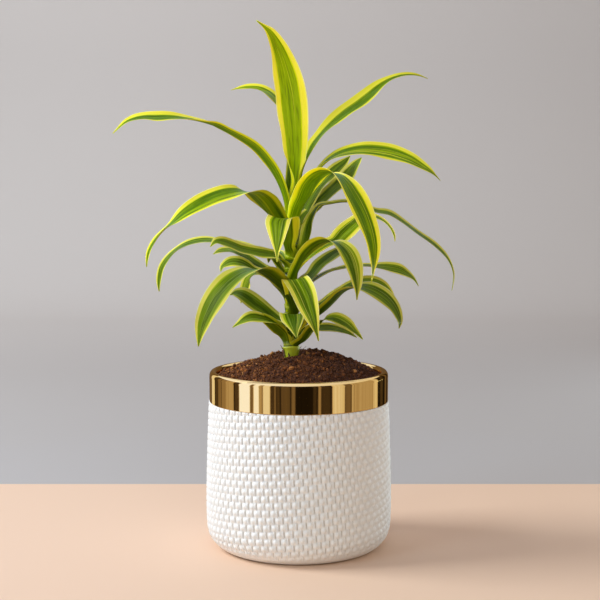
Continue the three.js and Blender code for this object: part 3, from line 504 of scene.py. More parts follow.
# Softboxes: where each stands, what it aims at, width, height, power in watts and colour
LIGHTS = {
    "key_light": ((-1.90, 0.0, 1.72), (0, 0, 0.12), 1.1, 1.1, 57, (0.85, 0.94, 1.0)),
    "front_fill": ((0.0, -1.65, 0.95), (0, 0, 0.18), 1.4, 1.2, 8.8, (0.86, 0.98, 1.0)),
    "left_front": ((-1.35, -1.15, 0.90), (0, 0, 0.20), 0.6, 0.8, 8, (0.55, 0.8, 1.0)),
    "right_fill": ((1.0, 0.7, 0.06), (0, 0, 0.1), 0.5, 0.11, 5.6, (0.76, 0.93, 1.0)),
    "backdrop_light": ((-0.3, 0.9, 1.9), (0.2, 2.1, 0.6), 2.4, 0.8, 9.0, (1, 1, 1)),
}
WORLD_COLOUR = (1.0, 0.82, 0.66, 1)
WORLD_STRENGTH = 0.28


def lights():
    for name, settings in LIGHTS.items():
        softbox(name, *settings)
    world = bpy.data.worlds.new("studio_air")
    bpy.context.scene.world = world
    world.use_nodes = True
    background = world.node_tree.nodes["Background"]
    background.inputs["Color"].default_value = WORLD_COLOUR
    background.inputs["Strength"].default_value = WORLD_STRENGTH


FLOOR_COLOUR = (0.78, 0.537, 0.376, 1)
BACKDROP_COLOUR = (0.622, 0.590, 0.586, 1)
BACKDROP_FLAT_PAINTED_SHADE = (0.456, 0.425, 0.422, 1)  # painted shade on the flat part behind the floor paper, against the light from above
FLOOR_NEAR_EDGE, FLOOR_FAR_EDGE = -2.4, 0.203  # the far edge makes the level line behind the pot
FLOOR_SIDE = 2.6
BACKDROP_DROP = 0.0005  # how far the backdrop's flat part lies below the floor paper
BACKDROP_SIDE = 3.4
BACKDROP_TOP = 3.2
COVE_START = 1.7
COVE_RADIUS = 0.6

# A ring of cards round the plant and a card above it, which only the gold and the gloss see. Each part of the
# ring: start and end in degrees from the camera's side, to the right, and brightness.
RING_RADIUS = 0.5
RING_HEIGHT = 0.36
RING_REST = 0.012  # brightness between the parts
RING_SOFTNESS = 1.0  # half width of the soft edges, in degrees
RING_STRIPES = 0.20
RING = [
    (-180, -143, 0.17), (-141, -129, 0.84), (-127, -118, 0.07), (-118, -110, 0.22), (-109, -99, 0.30),
    (-99, -85, 0.44), (-83, -77, 0.07), (-76, -59.5, 1.04), (-58.5, -55.5, 0.20), (-55, -47.5, 1.0),
    (-47, -43.5, 0.42), (-42.5, -33.5, 0.84), (-33, -29, 0.06), (-28.5, -26.5, 0.20), (-25.5, -22, 0.07),
    (-20.5, -10, 0.11), (-8.5, -4, 0.19), (17, 21, 0.05), (23, 26, 0.34), (27, 38, 0.05), (40, 56, 0.74),
    (57, 65, 0.17), (66, 69, 0.62), (69.5, 103, 0.46), (103.5, 113.5, 0.72), (121, 129, 0.06),
    (137, 144, 0.15), (150, 180, 0.13),
]
ABOVE_LEFT, ABOVE_RIGHT = 1.04, 0.74  # brightness of the card above, at its left and its right edge
# Green and blue of the studio's light as shares of its red, at some levels of brightness
TINT_LEVELS = (0.1, 0.4, 0.7, 0.92, 1.05)
TINT_GREEN = (0.80, 0.92, 1.08, 1.24, 1.4)
TINT_BLUE = (0.60, 0.80, 1.2, 1.9, 3.0)


def stage_piece(name, points, faces, material, smooth=False):
    piece = new_mesh(name, np.asarray(points) / MM, faces, [material], smooth=smooth)
    return piece


def floor_paper():
    made, tree, shader = new_material("floor_paper")
    connect(tree, shader, Base_Color=FLOOR_COLOUR, Roughness=0.9)
    return made


def backdrop_paper():
    """Pale grey paper with painted shade where it lies flat, against the light from above, so that it looks
    even from the front.
    """
    made, tree, shader = new_material("backdrop_paper")
    at = place_of(tree)
    back = node(tree, "ShaderNodeSeparateXYZ", {0: at}, output=1)
    upright = between(tree, back, COVE_START - 0.9, COVE_START + 0.5 * COVE_RADIUS)
    # painted shade on the flat part
    colour = blend(tree, upright, BACKDROP_FLAT_PAINTED_SHADE, BACKDROP_COLOUR)
    colour = blend(tree, noise_of(tree, at, 3.0, 3.0), colour, (0.7, 0.7, 0.7, 1), 0.04)
    connect(tree, shader, Base_Color=colour, Roughness=0.95, Specular_IOR_Level=0.1)
    return made


def studio():
    near, far, side = FLOOR_NEAR_EDGE, FLOOR_FAR_EDGE, FLOOR_SIDE
    floor = [(-side, near, 0), (side, near, 0), (side, far, 0), (-side, far, 0)]
    stage_piece("floor", floor, [(0, 1, 2, 3)], floor_paper())
    line = [(far, -BACKDROP_DROP), (COVE_START, -BACKDROP_DROP)]
    for a in np.linspace(0.1, math.pi / 2, 12):
        rise = COVE_RADIUS * (1 - math.cos(a)) - BACKDROP_DROP
        line.append((COVE_START + COVE_RADIUS * math.sin(a), rise))
    line.append((COVE_START + COVE_RADIUS, BACKDROP_TOP))
    points = [(x, y, z) for y, z in line for x in (-BACKDROP_SIDE, BACKDROP_SIDE)]
    faces = [(2 * i, 2 * i + 1, 2 * i + 3, 2 * i + 2) for i in range(len(line) - 1)]
    stage_piece("backdrop", points, faces, backdrop_paper(), smooth=True)
    ring_of_cards()
    card_above()


def ring_brightness(angles):
    """Brightness of the ring at angles in degrees, with soft edges and faint stripes."""
    bright = np.full(len(angles), RING_REST)
    for start, end, level in RING:
        inside = smoothstep(angles, start - RING_SOFTNESS, start + RING_SOFTNESS)
        inside *= 1 - smoothstep(angles, end - RING_SOFTNESS, end + RING_SOFTNESS)
        bright += (level - RING_REST) * inside
    stripes = np.array([noise.noise(Vector((angle * 0.42, 0.7, 0.0))) for angle in angles])
    return bright * (1 + RING_STRIPES * stripes * (bright < 0.8))


def light_tint(bright):
    """Rows of red, green and blue for a brightness: dim parts of the studio are warm and bright ones cool."""
    green = np.interp(bright, TINT_LEVELS, TINT_GREEN)
    blue = np.interp(bright, TINT_LEVELS, TINT_BLUE)
    return np.stack([bright, bright * green, bright * blue, np.ones_like(bright)], axis=1)


def glowing_card(name, points, faces, colours):
    """A card that only reflections show, lit by the colours at its points."""
    made = bpy.data.materials.new(name)
    made.use_nodes = True
    tree = made.node_tree
    tree.nodes.clear()
    shade = node(tree, "ShaderNodeAttribute", attribute_name="shade")
    glow = node(tree, "ShaderNodeEmission", {"Color": shade})
    tree.links.new(glow, tree.nodes.new("ShaderNodeOutputMaterial").inputs["Surface"])
    card = stage_piece(name, points, faces, made)
    shades = card.data.attributes.new("shade", "FLOAT_COLOR", "POINT")
    shades.data.foreach_set("color", np.asarray(colours, np.float32).ravel())
    card.visible_camera = False
    card.visible_diffuse = False
    card.visible_shadow = False
    card.visible_transmission = False


def ring_of_cards():
    degrees = np.linspace(-180, 180, 721)
    turns = np.radians(degrees)
    edge = np.stack([RING_RADIUS * np.sin(turns), -RING_RADIUS * np.cos(turns)], axis=1)
    points = [(x, y, z) for z in (0, RING_HEIGHT) for x, y in edge]
    count = len(degrees)
    faces = [(i, i + 1, count + i + 1, count + i) for i in range(count - 1)]
    colours = light_tint(ring_brightness(degrees))
    glowing_card("ring_of_cards", points, faces, np.concatenate([colours, colours]))


def card_above():
    sides = [(x, y, RING_HEIGHT) for x in (-RING_RADIUS, RING_RADIUS) for y in (-RING_RADIUS, RING_RADIUS)]
    bright = np.array([ABOVE_LEFT, ABOVE_LEFT, ABOVE_RIGHT, ABOVE_RIGHT])
    glowing_card("card_above", sides, [(0, 1, 3, 2)], light_tint(bright))


# Material nodes

def srgb(red, green, blue):
    """A colour given as 0 to 255 in sRGB, as Blender's linear values."""
    shares = np.array([red, green, blue]) / 255
    linear = np.where(shares <= 0.04045, shares / 12.92, ((shares + 0.055) / 1.055) ** 2.4)
    return (*linear.tolist(), 1.0)


def node(tree, kind, inputs=None, output=0, **settings):
    """Makes a node, sets or links its inputs and gives one of its outputs."""
    made = tree.nodes.new(kind)
    for setting, value in settings.items():
        setattr(made, setting, value)
    for key, value in (inputs or {}).items():
        if isinstance(value, bpy.types.NodeSocket):
            tree.links.new(value, made.inputs[key])
        else:
            made.inputs[key].default_value = value
    return made.outputs[output]


def maths(tree, operation, a, b=0.0):
    return node(tree, "ShaderNodeMath", {0: a, 1: b}, operation=operation)


def times(tree, a, b):
    return maths(tree, "MULTIPLY", a, b)


def plus(tree, a, b):
    return maths(tree, "ADD", a, b)


def about_zero(tree, x, size):
    """A noise brought about zero and made size times as large."""
    return times(tree, maths(tree, "SUBTRACT", x, 0.5), size)


def value_of(tree, attribute):
    return node(tree, "ShaderNodeAttribute", output=2, attribute_name=attribute)


def vector(tree, x, y, z):
    return node(tree, "ShaderNodeCombineXYZ", {0: x, 1: y, 2: z})


def place_of(tree):
    """Where a point of the surface is, in metres in the frame's axes."""
    return node(tree, "ShaderNodeTexCoord", output=3)


def height_of(tree, at):
    return node(tree, "ShaderNodeSeparateXYZ", {0: at}, output=2)


def drawn_out(tree, at, share):
    """Places with their heights shrunk, which draws a pattern on them out upwards."""
    return node(tree, "ShaderNodeMapping", {"Vector": at, "Scale": (1, 1, share)})


def noise_of(tree, at, scale, detail=2.0, roughness=0.5):
    return node(
        tree, "ShaderNodeTexNoise", {"Vector": at, "Scale": scale, "Detail": detail, "Roughness": roughness},
    )


def blend(tree, share, a, b, strength=1.0):
    """Colour a with b over it, by a share times a strength."""
    if strength < 1:
        share = times(tree, share, strength)
    return node(tree, "ShaderNodeMix", {0: share, 6: a, 7: b}, output=2, data_type="RGBA")


def between(tree, x, low, high):
    """0 below low, 1 above high, smooth in between."""
    return node(
        tree, "ShaderNodeMapRange", {0: x, 1: low, 2: high, 3: 0.0, 4: 1.0}, interpolation_type="SMOOTHSTEP",
    )


def layered(tree, colour, layers):
    """A colour under others. Each layer: a pattern, its values for none and all, a colour, a strength."""
    for pattern, none, full, other, strength in layers:
        colour = blend(tree, between(tree, pattern, none, full), colour, other, strength)
    return colour


def uneven(tree, pattern, low, high):
    """A roughness that a noise moves between low and high."""
    return node(tree, "ShaderNodeMapRange", {0: pattern, 1: 0.3, 2: 0.7, 3: low, 4: high})


def bump(tree, height, strength, distance):
    return node(tree, "ShaderNodeBump", {"Height": height, "Strength": strength, "Distance": distance})


def new_material(name):
    made = bpy.data.materials.new(name)
    made.use_nodes = True
    tree = made.node_tree
    return made, tree, tree.nodes["Principled BSDF"]


def connect(tree, shader, **sockets):
    for name, value in sockets.items():
        socket = shader.inputs[name.replace("_", " ")]
        if isinstance(value, bpy.types.NodeSocket):
            tree.links.new(value, socket)
        else:
            socket.default_value = value


# Colours of each face of the leaves in sRGB: deep, fresh and pale green, lime, margin and rim
LEAF_COLOURS = {
    "young_leaf_upper": (
        (82, 121, 0), (150, 176, 0), (170, 192, 10), (204, 216, 0), (248, 236, 66), (250, 244, 140),
    ),
    "young_leaf_under": (
        (98, 138, 0), (140, 172, 0), (178, 198, 24), (190, 204, 10), (234, 230, 30), (226, 226, 80),
    ),
    "mature_leaf_upper": (
        (74, 104, 0), (122, 150, 2), (170, 188, 66), (176, 194, 10), (244, 233, 96), (248, 244, 168),
    ),
    "mature_leaf_under": (
        (70, 100, 0), (98, 127, 0), (130, 156, 24), (160, 178, 10), (216, 212, 40), (214, 214, 84),
    ),
}
LEAF_SHADE = (44, 74, 0)
LIGHT_THROUGH_LEAF = (226, 228, 0)


def leaf_material(name):
    """One face of a strap leaf: streaked green down the middle, yellow margins with uneven inner edges."""
    deep, fresh, pale, lime, margin, rim = (srgb(*shade) for shade in LEAF_COLOURS[name])
    made, tree, shader = new_material(name)
    across, along = value_of(tree, "across"), value_of(tree, "along")
    reach, seed = value_of(tree, "reach"), value_of(tree, "seed")
    edge = maths(tree, "ABSOLUTE", across)

    def streaks(per_width, per_length, detail=2.0, shift=0.0):
        x, y = times(tree, across, per_width), times(tree, reach, per_length)
        z = plus(tree, times(tree, seed, 37.0), shift)
        return noise_of(tree, vector(tree, x, y, z), 1.0, detail)

    broad, fine, hair = streaks(2.8, 0.07), streaks(9.0, 0.10), streaks(26.0, 0.22)
    # Zero where the green ends and the margin starts, ragged, and a little further in towards the tip
    border = plus(tree, edge, about_zero(tree, streaks(3.0, 0.22), 0.20))
    border = plus(tree, border, about_zero(tree, fine, 0.16))
    border = maths(tree, "SUBTRACT", border, value_of(tree, "inner"))
    border = plus(tree, border, times(tree, between(tree, along, 0.80, 1.0), 0.10))

    middle = layered(tree, deep, [
        (plus(tree, broad, value_of(tree, "bright")), 0.44, 0.56, fresh, 1),
        (fine, 0.54, 0.64, pale, 0.60),
        (hair, 0.52, 0.70, pale, 0.35),
        (streaks(14.0, 0.5, 2.0, 9.0), 0.52, 0.66, srgb(*LEAF_SHADE), 0.55),
        (streaks(18.0, 0.6, 2.0, 13.0), 0.56, 0.70, pale, 0.50),
        (streaks(11.0, 0.035, 1.0, 5.0), 0.66, 0.70, margin, 0.5),
    ])
    yellow = layered(tree, margin, [(hair, 0.56, 0.68, lime, 0.35)])
    colour = layered(tree, middle, [
        (border, -0.09, -0.01, lime, 1),
        (border, 0.0, 0.05, yellow, 1),
        (edge, 0.90, 0.99, rim, 1),
        (along, 0.14, 0.0, lime, 0.75),
    ])
    # Painted light and shade: the colour scaled by the leaf's own lightening or darkening
    tone_and_painted_light = value_of(tree, "tone_and_painted_light")
    colour = node(tree, "ShaderNodeVectorMath", {0: colour, "Scale": tone_and_painted_light}, operation="SCALE")

    wax = noise_of(tree, vector(tree, across, reach, seed), 3.0, 3.0)
    ribs = times(tree, maths(tree, "SINE", times(tree, across, 62.0)), 0.5)
    relief = plus(tree, ribs, times(tree, hair, 1.4))
    connect(
        tree, shader, Base_Color=colour, Roughness=uneven(tree, wax, 0.34, 0.48), Specular_IOR_Level=0.05,
        Normal=bump(tree, relief, 0.5, 0.00012),
    )
    through = blend(tree, 0.35, colour, srgb(*LIGHT_THROUGH_LEAF))
    glow = node(tree, "ShaderNodeBsdfTranslucent", {"Color": through})
    both = node(tree, "ShaderNodeMixShader", {0: 0.17, 1: shader.outputs[0], 2: glow})
    tree.links.new(both, tree.nodes["Material Output"].inputs["Surface"])
    return made


def cane_material():
    made, tree, shader = new_material("cane_skin")
    at = place_of(tree)
    streaks = noise_of(tree, drawn_out(tree, at, 0.18), 900.0, 3.0)
    ring = value_of(tree, "ring")
    patches = between(tree, noise_of(tree, at, 160.0, 2.0), 0.35, 0.65)
    colour = blend(tree, patches, srgb(52, 80, 0), srgb(86, 116, 2))
    colour = blend(tree, streaks, colour, srgb(130, 154, 14), 0.4)
    colour = layered(tree, colour, [
        (height_of(tree, at), 0.163, 0.157, srgb(196, 206, 20), 0.9),  # paler lime at the stem's foot
        (ring, 0.15, 0.9, srgb(204, 212, 40), 1),
        (ring, -0.15, -0.8, srgb(38, 44, 6), 1),
    ])
    connect(
        tree, shader, Base_Color=colour, Roughness=0.46, Coat_Weight=0.1, Coat_Roughness=0.35,
        Normal=bump(tree, streaks, 0.35, 0.0002),
    )
    return made


def scale_material():
    made, tree, shader = new_material("dry_scale")
    fibres = noise_of(tree, drawn_out(tree, place_of(tree), 0.2), 1400.0, 3.0)
    colour = blend(tree, fibres, srgb(52, 34, 18), srgb(128, 96, 52))
    connect(tree, shader, Base_Color=colour, Roughness=0.8, Normal=bump(tree, fibres, 0.6, 0.0002))
    return made


# Colours of the crumbs in sRGB: the darkest, then each paler one with its place on the ramp
SOIL_DARKEST = (42, 20, 5)
SOIL_SHADES = ((0.30, (73, 37, 11)), (0.62, (116, 63, 20)), (0.90, (168, 101, 40)), (1.0, (208, 143, 74)))


def soil_material():
    made, tree, shader = new_material("potting_soil")
    at = place_of(tree)
    grains = noise_of(tree, at, 900.0, 4.0, 0.6)
    # The ramp is read at each crumb's own random tone, shifted by painted light and shade across the soil
    colour = node(tree, "ShaderNodeValToRGB", {0: value_of(tree, "tone_and_painted_light")})
    ramp = colour.node.color_ramp
    ramp.elements.remove(ramp.elements[1])
    ramp.elements[0].color = srgb(*SOIL_DARKEST)
    for position, shade in SOIL_SHADES:
        ramp.elements.new(position).color = srgb(*shade)
    colour = layered(tree, colour, [(grains, 0.4, 0.7, srgb(58, 30, 9), 0.6)])
    colour = blend(tree, noise_of(tree, at, 60.0, 2.0), colour, srgb(134, 76, 27), 0.30)
    connect(
        tree, shader, Base_Color=colour, Roughness=0.95, Specular_IOR_Level=0.25,
        Normal=bump(tree, grains, 0.8, 0.0005),
    )
    return made


def ceramic_material():
    made, tree, shader = new_material("woven_ceramic")
    at = place_of(tree)
    speckle = noise_of(tree, at, 700.0, 3.0)
    colour = blend(tree, noise_of(tree, at, 35.0, 2.0), srgb(240, 239, 237), srgb(232, 230, 226), 0.4)
    colour = layered(tree, colour, [
        # Painted shade: darker grey where the weave's relief sinks low, in its grooves and hollows
        (value_of(tree, "relief"), 0.10, -0.50, srgb(186, 180, 170), 1),
        (height_of(tree, at), 0.0009, 0.0003, srgb(214, 200, 178), 1),  # a warmer, darker beige in the lowest millimetre of the pot
    ])
    connect(
        tree, shader, Base_Color=colour, Roughness=uneven(tree, speckle, 0.44, 0.54), Coat_Weight=0.06,
        Coat_Roughness=0.3, Normal=bump(tree, speckle, 0.12, 0.0001),
    )
    return made


def gold_material():
    made, tree, shader = new_material("gold_lustre")
    at = place_of(tree)
    waves = noise_of(tree, drawn_out(tree, at, 0.35), 55.0, 1.0)
    film = noise_of(tree, at, 240.0, 3.0)
    colour = blend(tree, film, (0.95, 0.57, 0.175, 1), (0.90, 0.50, 0.14, 1), 0.4)
    connect(
        tree, shader, Base_Color=colour, Metallic=1.0, Roughness=uneven(tree, film, 0.03, 0.06),
        Specular_Tint=(1.0, 0.84, 0.56, 1), Normal=bump(tree, waves, 0.10, 0.0006),
    )
    return made


# The pot, its gold collar, the soil, the cane and the leaves

def pot_radius(height):
    low = height < BELLY_HEIGHT
    reach = BELLY_HEIGHT - FOOT_CORNER_HEIGHT if low else BAND_LOWER_EDGE - BELLY_HEIGHT
    narrowing = BELLY_TO_FOOT_NARROWING if low else BELLY_RADIUS - RIM_RADIUS
    return BELLY_RADIUS - narrowing * (abs(height - BELLY_HEIGHT) / reach) ** WALL_CURVE


INNER_RADIUS = RIM_RADIUS - WALL_THICKNESS
NECK_RADIUS = RIM_RADIUS - BAND_THICKNESS - CLEARANCE
NECK_TOP = POT_HEIGHT - BAND_THICKNESS - CLEARANCE
# Columns of the woven wall's mesh in each half cell, closer together where the ribs and grooves are
HALF_CELL = (0.0, 0.055, 0.105, 0.145, 0.20, 0.30, 0.40)
WALL_STEP = 0.7
# The parts of a cell, in shares of its width and height
RIB_HALF_WIDTH = 0.085
GROOVE_MIDDLE = 0.145
GROOVE_WIDTH = 0.04
CELL_END = 0.38  # from where the rib and the groove run out towards the cell's ends
PILLOW_MIDDLE = 0.57
PILLOW_HALF_WIDTH = 0.31
PILLOW_HALF_HEIGHT = 0.45
PILLOW_FULLNESS = 0.78


def outer_wall():
    """Points up the pot's outside, from the underside's edge to the collar, with lengths gone and normals."""
    shoulder = BAND_LOWER_EDGE - CLEARANCE
    corner_reach = pot_radius(FOOT_CORNER_HEIGHT) - FOOT_RADIUS
    foot = corner((FOOT_RADIUS, FOOT_CORNER_HEIGHT), corner_reach, FOOT_CORNER_HEIGHT, -90, 0, 60)
    wall = [(pot_radius(z), z) for z in np.linspace(FOOT_CORNER_HEIGHT, shoulder, 160)[1:]]
    line = np.array(foot + wall)
    gone = lengths_along(line)
    at = np.linspace(0, gone[-1], round(gone[-1] / WALL_STEP))
    points = np.stack([np.interp(at, gone, line[:, k]) for k in (0, 1)], axis=1)
    tangents = unit(np.gradient(points, axis=0))
    return points, at, np.stack([tangents[:, 1], -tangents[:, 0]], axis=1)


def weave_height(cell, row):
    """Relief of the weave: in each cell a thin rib, a groove beside it and a round pillow."""
    odd = np.floor(row) % 2
    up = row - np.floor(row) - 0.5
    across = (cell + 0.5 * odd) % 1.0
    from_rib = np.minimum(across, 1 - across)
    rib = np.clip(1 - (from_rib / RIB_HALF_WIDTH) ** 2, 0, 1) * (1 - smoothstep(np.abs(up), CELL_END, 0.49))
    groove = np.exp(-(((across - GROOVE_MIDDLE) / GROOVE_WIDTH) ** 2))
    groove = groove * (1 - smoothstep(np.abs(up), CELL_END, 0.5))
    sideways = ((across - PILLOW_MIDDLE) / PILLOW_HALF_WIDTH) ** 2
    pillow = np.clip(1 - sideways - (up / PILLOW_HALF_HEIGHT) ** 2, 0, 1) ** PILLOW_FULLNESS
    return np.maximum(WEAVE_RIB * rib, WEAVE_PILLOW * pillow) - WEAVE_GROOVE * groove


def pot(material):
    wall, gone, normals = outer_wall()
    columns = np.array([(k * 0.5 + share) for k in range(2 * WEAVE_CELLS) for share in HALF_CELL])
    angle = columns / WEAVE_CELLS * 2 * math.pi
    lean = -math.tan(WEAVE_LEAN) * (gone - gone[-1] / 2) / BELLY_RADIUS
    around = angle[None, :] + lean[:, None]
    row = gone[:, None] / WEAVE_ROW - WEAVE_RISE_ROWS * around / (2 * math.pi) + WEAVE_FIRST_ROW
    fade = smoothstep(gone, *WEAVE_FOOT_FADE)[:, None]
    relief = weave_height(np.broadcast_to(columns, row.shape), row) * fade
    lift = relief - WEAVE_SINK * fade
    radius = wall[:, 0][:, None] + normals[:, 0][:, None] * lift
    height = wall[:, 1][:, None] + normals[:, 1][:, None] * lift
    outside = np.stack([radius * np.sin(around), -radius * np.cos(around), height], axis=-1)

    edge_base = NECK_TOP - CERAMIC_EDGE
    inside_centre = (INNER_RADIUS - INSIDE_CORNER, FLOOR_THICKNESS + INSIDE_CORNER)
    rest = [
        (NECK_RADIUS, BAND_LOWER_EDGE - CLEARANCE),
        *corner((NECK_RADIUS - CERAMIC_EDGE, edge_base), CERAMIC_EDGE, CERAMIC_EDGE, 0, 90, 3),
        *corner((INNER_RADIUS + CERAMIC_EDGE, edge_base), CERAMIC_EDGE, CERAMIC_EDGE, 90, 180, 3),
        *corner(inside_centre, INSIDE_CORNER, INSIDE_CORNER, 0, -90, 4),
    ]
    top = around[-1]
    hidden = np.array([
        np.column_stack([r * np.sin(top), -r * np.cos(top), np.full(len(top), z)]) for r, z in rest
    ])
    points = np.concatenate([outside, hidden]).reshape(-1, 3)
    faces = tube_faces(len(outside) + len(hidden), len(columns))
    piece = new_mesh("pot_woven", points, faces, [material])
    plain = np.zeros(len(hidden) * len(columns))
    # The relief also drives the painted shade in the weave's grooves
    point_values(piece, "relief", np.concatenate([(relief + 1 - fade).ravel(), plain]))
    return place(piece, "white_ceramic", "pot")


def gold_collar(material):
    lip_outer = RIM_RADIUS - LIP_ROUNDING
    inner_face = INNER_RADIUS - CLEARANCE - BAND_THICKNESS
    lip_inner = inner_face + LIP_ROUNDING
    lip_foot, lip_base = POT_HEIGHT - LIP_RISE, POT_HEIGHT - LIP_ROUNDING
    inner_rounding = LIP_ROUNDING - BAND_THICKNESS
    edge = BAND_EDGE_ROUNDING
    wall_heights = (BAND_LOWER_EDGE + 0.35, BAND_LOWER_EDGE + 1.5, 125, lip_foot - 0.3)
    profile = [
        (RIM_RADIUS - BAND_THICKNESS, BAND_LOWER_EDGE),
        *corner((RIM_RADIUS - edge, BAND_LOWER_EDGE + edge), edge, edge, -90, 0, 5),
        *[(RIM_RADIUS, z) for z in wall_heights],
        *corner((lip_outer, lip_foot), LIP_ROUNDING, LIP_RISE, 0, 90, 16),
        *corner((lip_inner, lip_foot), LIP_ROUNDING, LIP_RISE, 90, 180, 16),
        (inner_face, BAND_INNER_EDGE),
        (inner_face + BAND_THICKNESS, BAND_INNER_EDGE),
        *corner((lip_inner, lip_base), inner_rounding, inner_rounding, 180, 90, 4),
        *corner((lip_outer, lip_base), inner_rounding, inner_rounding, 90, 0, 4),
    ]
    return place(turned("gold_collar", profile[::-1], material), "gold_lustre", "gold_rim_band")


def soil_height(x, y, outer_radius):
    """The mound, with its lower left shoulder and the small heap to the right of the cane."""
    share = np.minimum(1, np.hypot(x, y) / outer_radius)
    lumps = np.sin(0.31 * x + 1.1) * np.cos(0.27 * y) + 0.6 * np.sin(0.53 * y + 0.19 * x)
    mound = (SOIL_CROWN_HEIGHT - SOIL_EDGE_HEIGHT) * (1 - share**SOIL_MOUND_POWER)
    dip = SOIL_DIP * np.exp(-(((x - CANE_X) ** 2 + y * y) / SOIL_DIP_WIDTH**2))
    plain = SOIL_EDGE_HEIGHT + mound - dip + SOIL_LUMP * lumps * (1 - share**4)
    shoulder = SHOULDER_DROP * smoothstep(-x, *SHOULDER_SPAN) * (1 - share**3)
    heap = HEAP_RISE * np.exp(-(((x - HEAP_X) / HEAP_SPREAD[0]) ** 2 + (y / HEAP_SPREAD[1]) ** 2))
    return plain - shoulder + heap


def ball(subdivisions):
    """Corner points and triangles of a round lump."""
    lump = bmesh.new()
    bmesh.ops.create_icosphere(lump, subdivisions=subdivisions, radius=1)
    points = np.array([v.co for v in lump.verts])
    faces = np.array([[v.index for v in f.verts] for f in lump.faces])
    lump.free()
    return points, faces


def soil(material):
    """The filling with its lumpy crown, and thousands of crumbs on it, all one piece."""
    random = np.random.default_rng(SOIL_SEED)
    fill = INNER_RADIUS - BAND_THICKNESS - 2 * CLEARANCE
    angles = full_turn(SOIL_AROUND)
    floor_z = FLOOR_THICKNESS + CLEARANCE
    side = [(fill - INSIDE_CORNER, floor_z), (fill, floor_z + INSIDE_CORNER), (fill, SOIL_EDGE_HEIGHT - 3)]
    blocks = [circle(radius, angles, z) for radius, z in side]
    for radius in np.linspace(fill, 1.5, SOIL_RINGS):
        x, y = radius * np.cos(angles), radius * np.sin(angles)
        places = [Vector((a * SOIL_GRAIN, b * SOIL_GRAIN, 3.1)) for a, b in zip(x, y)]
        rough = np.array([noise.fractal(at, 0.8, 2.1, 4) for at in places])
        blocks.append(np.column_stack([x, y, soil_height(x, y, fill) - SOIL_SINK + SOIL_ROUGH * rough]))
    all_points = [np.concatenate(blocks)]
    all_faces = tube_faces(len(blocks), SOIL_AROUND)
    start = len(all_points[0])
    all_tones_and_light = [np.full(start, 0.25)]
    for count, subdivisions, small, large in CRUMBS:
        shape, triangles = ball(subdivisions)
        for _ in range(count):
            radius = fill * math.sqrt(random.random()) * 0.995
            turn = random.random() * 2 * math.pi
            x, y = radius * math.cos(turn), radius * math.sin(turn)
            size = small + (large - small) * random.random() ** 2
            stretch = size * random.uniform(0.65, 1.25, 3)
            lump = shape * (1 + random.normal(0, 0.17, (len(shape), 1)))
            spin = np.array(Euler(random.uniform(0, 2 * math.pi, 3).tolist()).to_matrix())
            lump = (lump * stretch) @ spin.T
            z = float(soil_height(x, y, fill)) + random.uniform(-0.35, 0.5) * size
            # Painted light and shade: crumbs paler towards the lit left edge and darker towards the right
            tone_and_painted_light = float(np.clip(abs(random.normal(0.42, 0.25)) - PAINTED_SIDE_LIGHT * x / fill, 0, 1))
            if math.hypot(x - CANE_X, y) < CANE_COLLAR_RADIUS - 1.0:
                continue
            inwards = min(1, (fill + 0.15 - size * 0.8) / max(radius, 1e-6))
            all_points.append(lump + (x * inwards, y * inwards, z))
            all_faces.extend((triangles + start).tolist())
            all_tones_and_light.append(np.full(len(shape), tone_and_painted_light))
            start += len(shape)
    piece = new_mesh("soil_crumbs", np.concatenate(all_points), all_faces, [material])
    point_values(piece, "tone_and_painted_light", np.concatenate(all_tones_and_light))
    return place(piece, "potting_soil", "soil")


def cane_radius(height):
    swelling = 1 - smoothstep(height, CANE_COLLAR_TOP - CANE_COLLAR_TAPER, CANE_COLLAR_TOP)
    narrowing = smoothstep(height, CANE_TAPER_START, CANE_TOP)
    return lerp(CANE_RADIUS, CANE_COLLAR_RADIUS, swelling) - narrowing * (CANE_RADIUS - CANE_TIP_RADIUS)


def cane(material):
    """The cane with its overlapping cups, each the scar or the clasping base of a leaf."""
    low = np.arange(STEM_DETAIL_FROM, CANE_TOP - 0.3, 0.3)
    heights = np.concatenate([[CANE_ROOT_END, CANE_ROOT_END + 1.5, 140], low, [CANE_TOP]])
    angles = full_turn(CANE_AROUND)
    spiral = (heights[:, None] - STEM_CUPS_FROM) / STEM_CUP * STEM_CUP_TURN
    tilted = heights[:, None] + STEM_CUP_TILT * np.cos(angles[None, :] - spiral)
    turns = (tilted - STEM_CUPS_FROM) / STEM_CUP
    share = turns - np.floor(turns)
    fade = smoothstep(heights, STEM_CUPS_FROM, STEM_CUPS_FROM + 6)[:, None]
    flare = (share**1.6 - 0.35) * fade * (1 - smoothstep(heights, 255, CANE_TOP))[:, None]
    radius = np.interp(tilted, *zip(*STEM_OUTLINE)) + STEM_FLARE * flare
    radius[0] = CANE_COLLAR_RADIUS - 1.5
    x, y = CANE_X + radius * np.cos(angles), radius * np.sin(angles)
    points = np.stack([x, y, np.broadcast_to(heights[:, None], radius.shape)], axis=-1)
    points[-1, :, :2] = (points[-1, :, :2] - (CANE_X, 0)) * 0.5 + (CANE_X, 0)
    faces = tube_faces(len(heights), CANE_AROUND)
    piece = new_mesh("cane_ringed", points.reshape(-1, 3), faces, [material])
    ring = smoothstep(share, 0.45, 0.95) - 1.2 * (1 - smoothstep(share, 0.04, 0.26))
    pale, dark = (np.exp(-(((tilted - height) / width) ** 2)) for height, width in LOW_CUP_LINES)
    point_values(piece, "ring", (ring * fade + 0.9 * (pale - dark) * (1 - fade)).ravel())
    return place(piece, "green_cane", "cane")


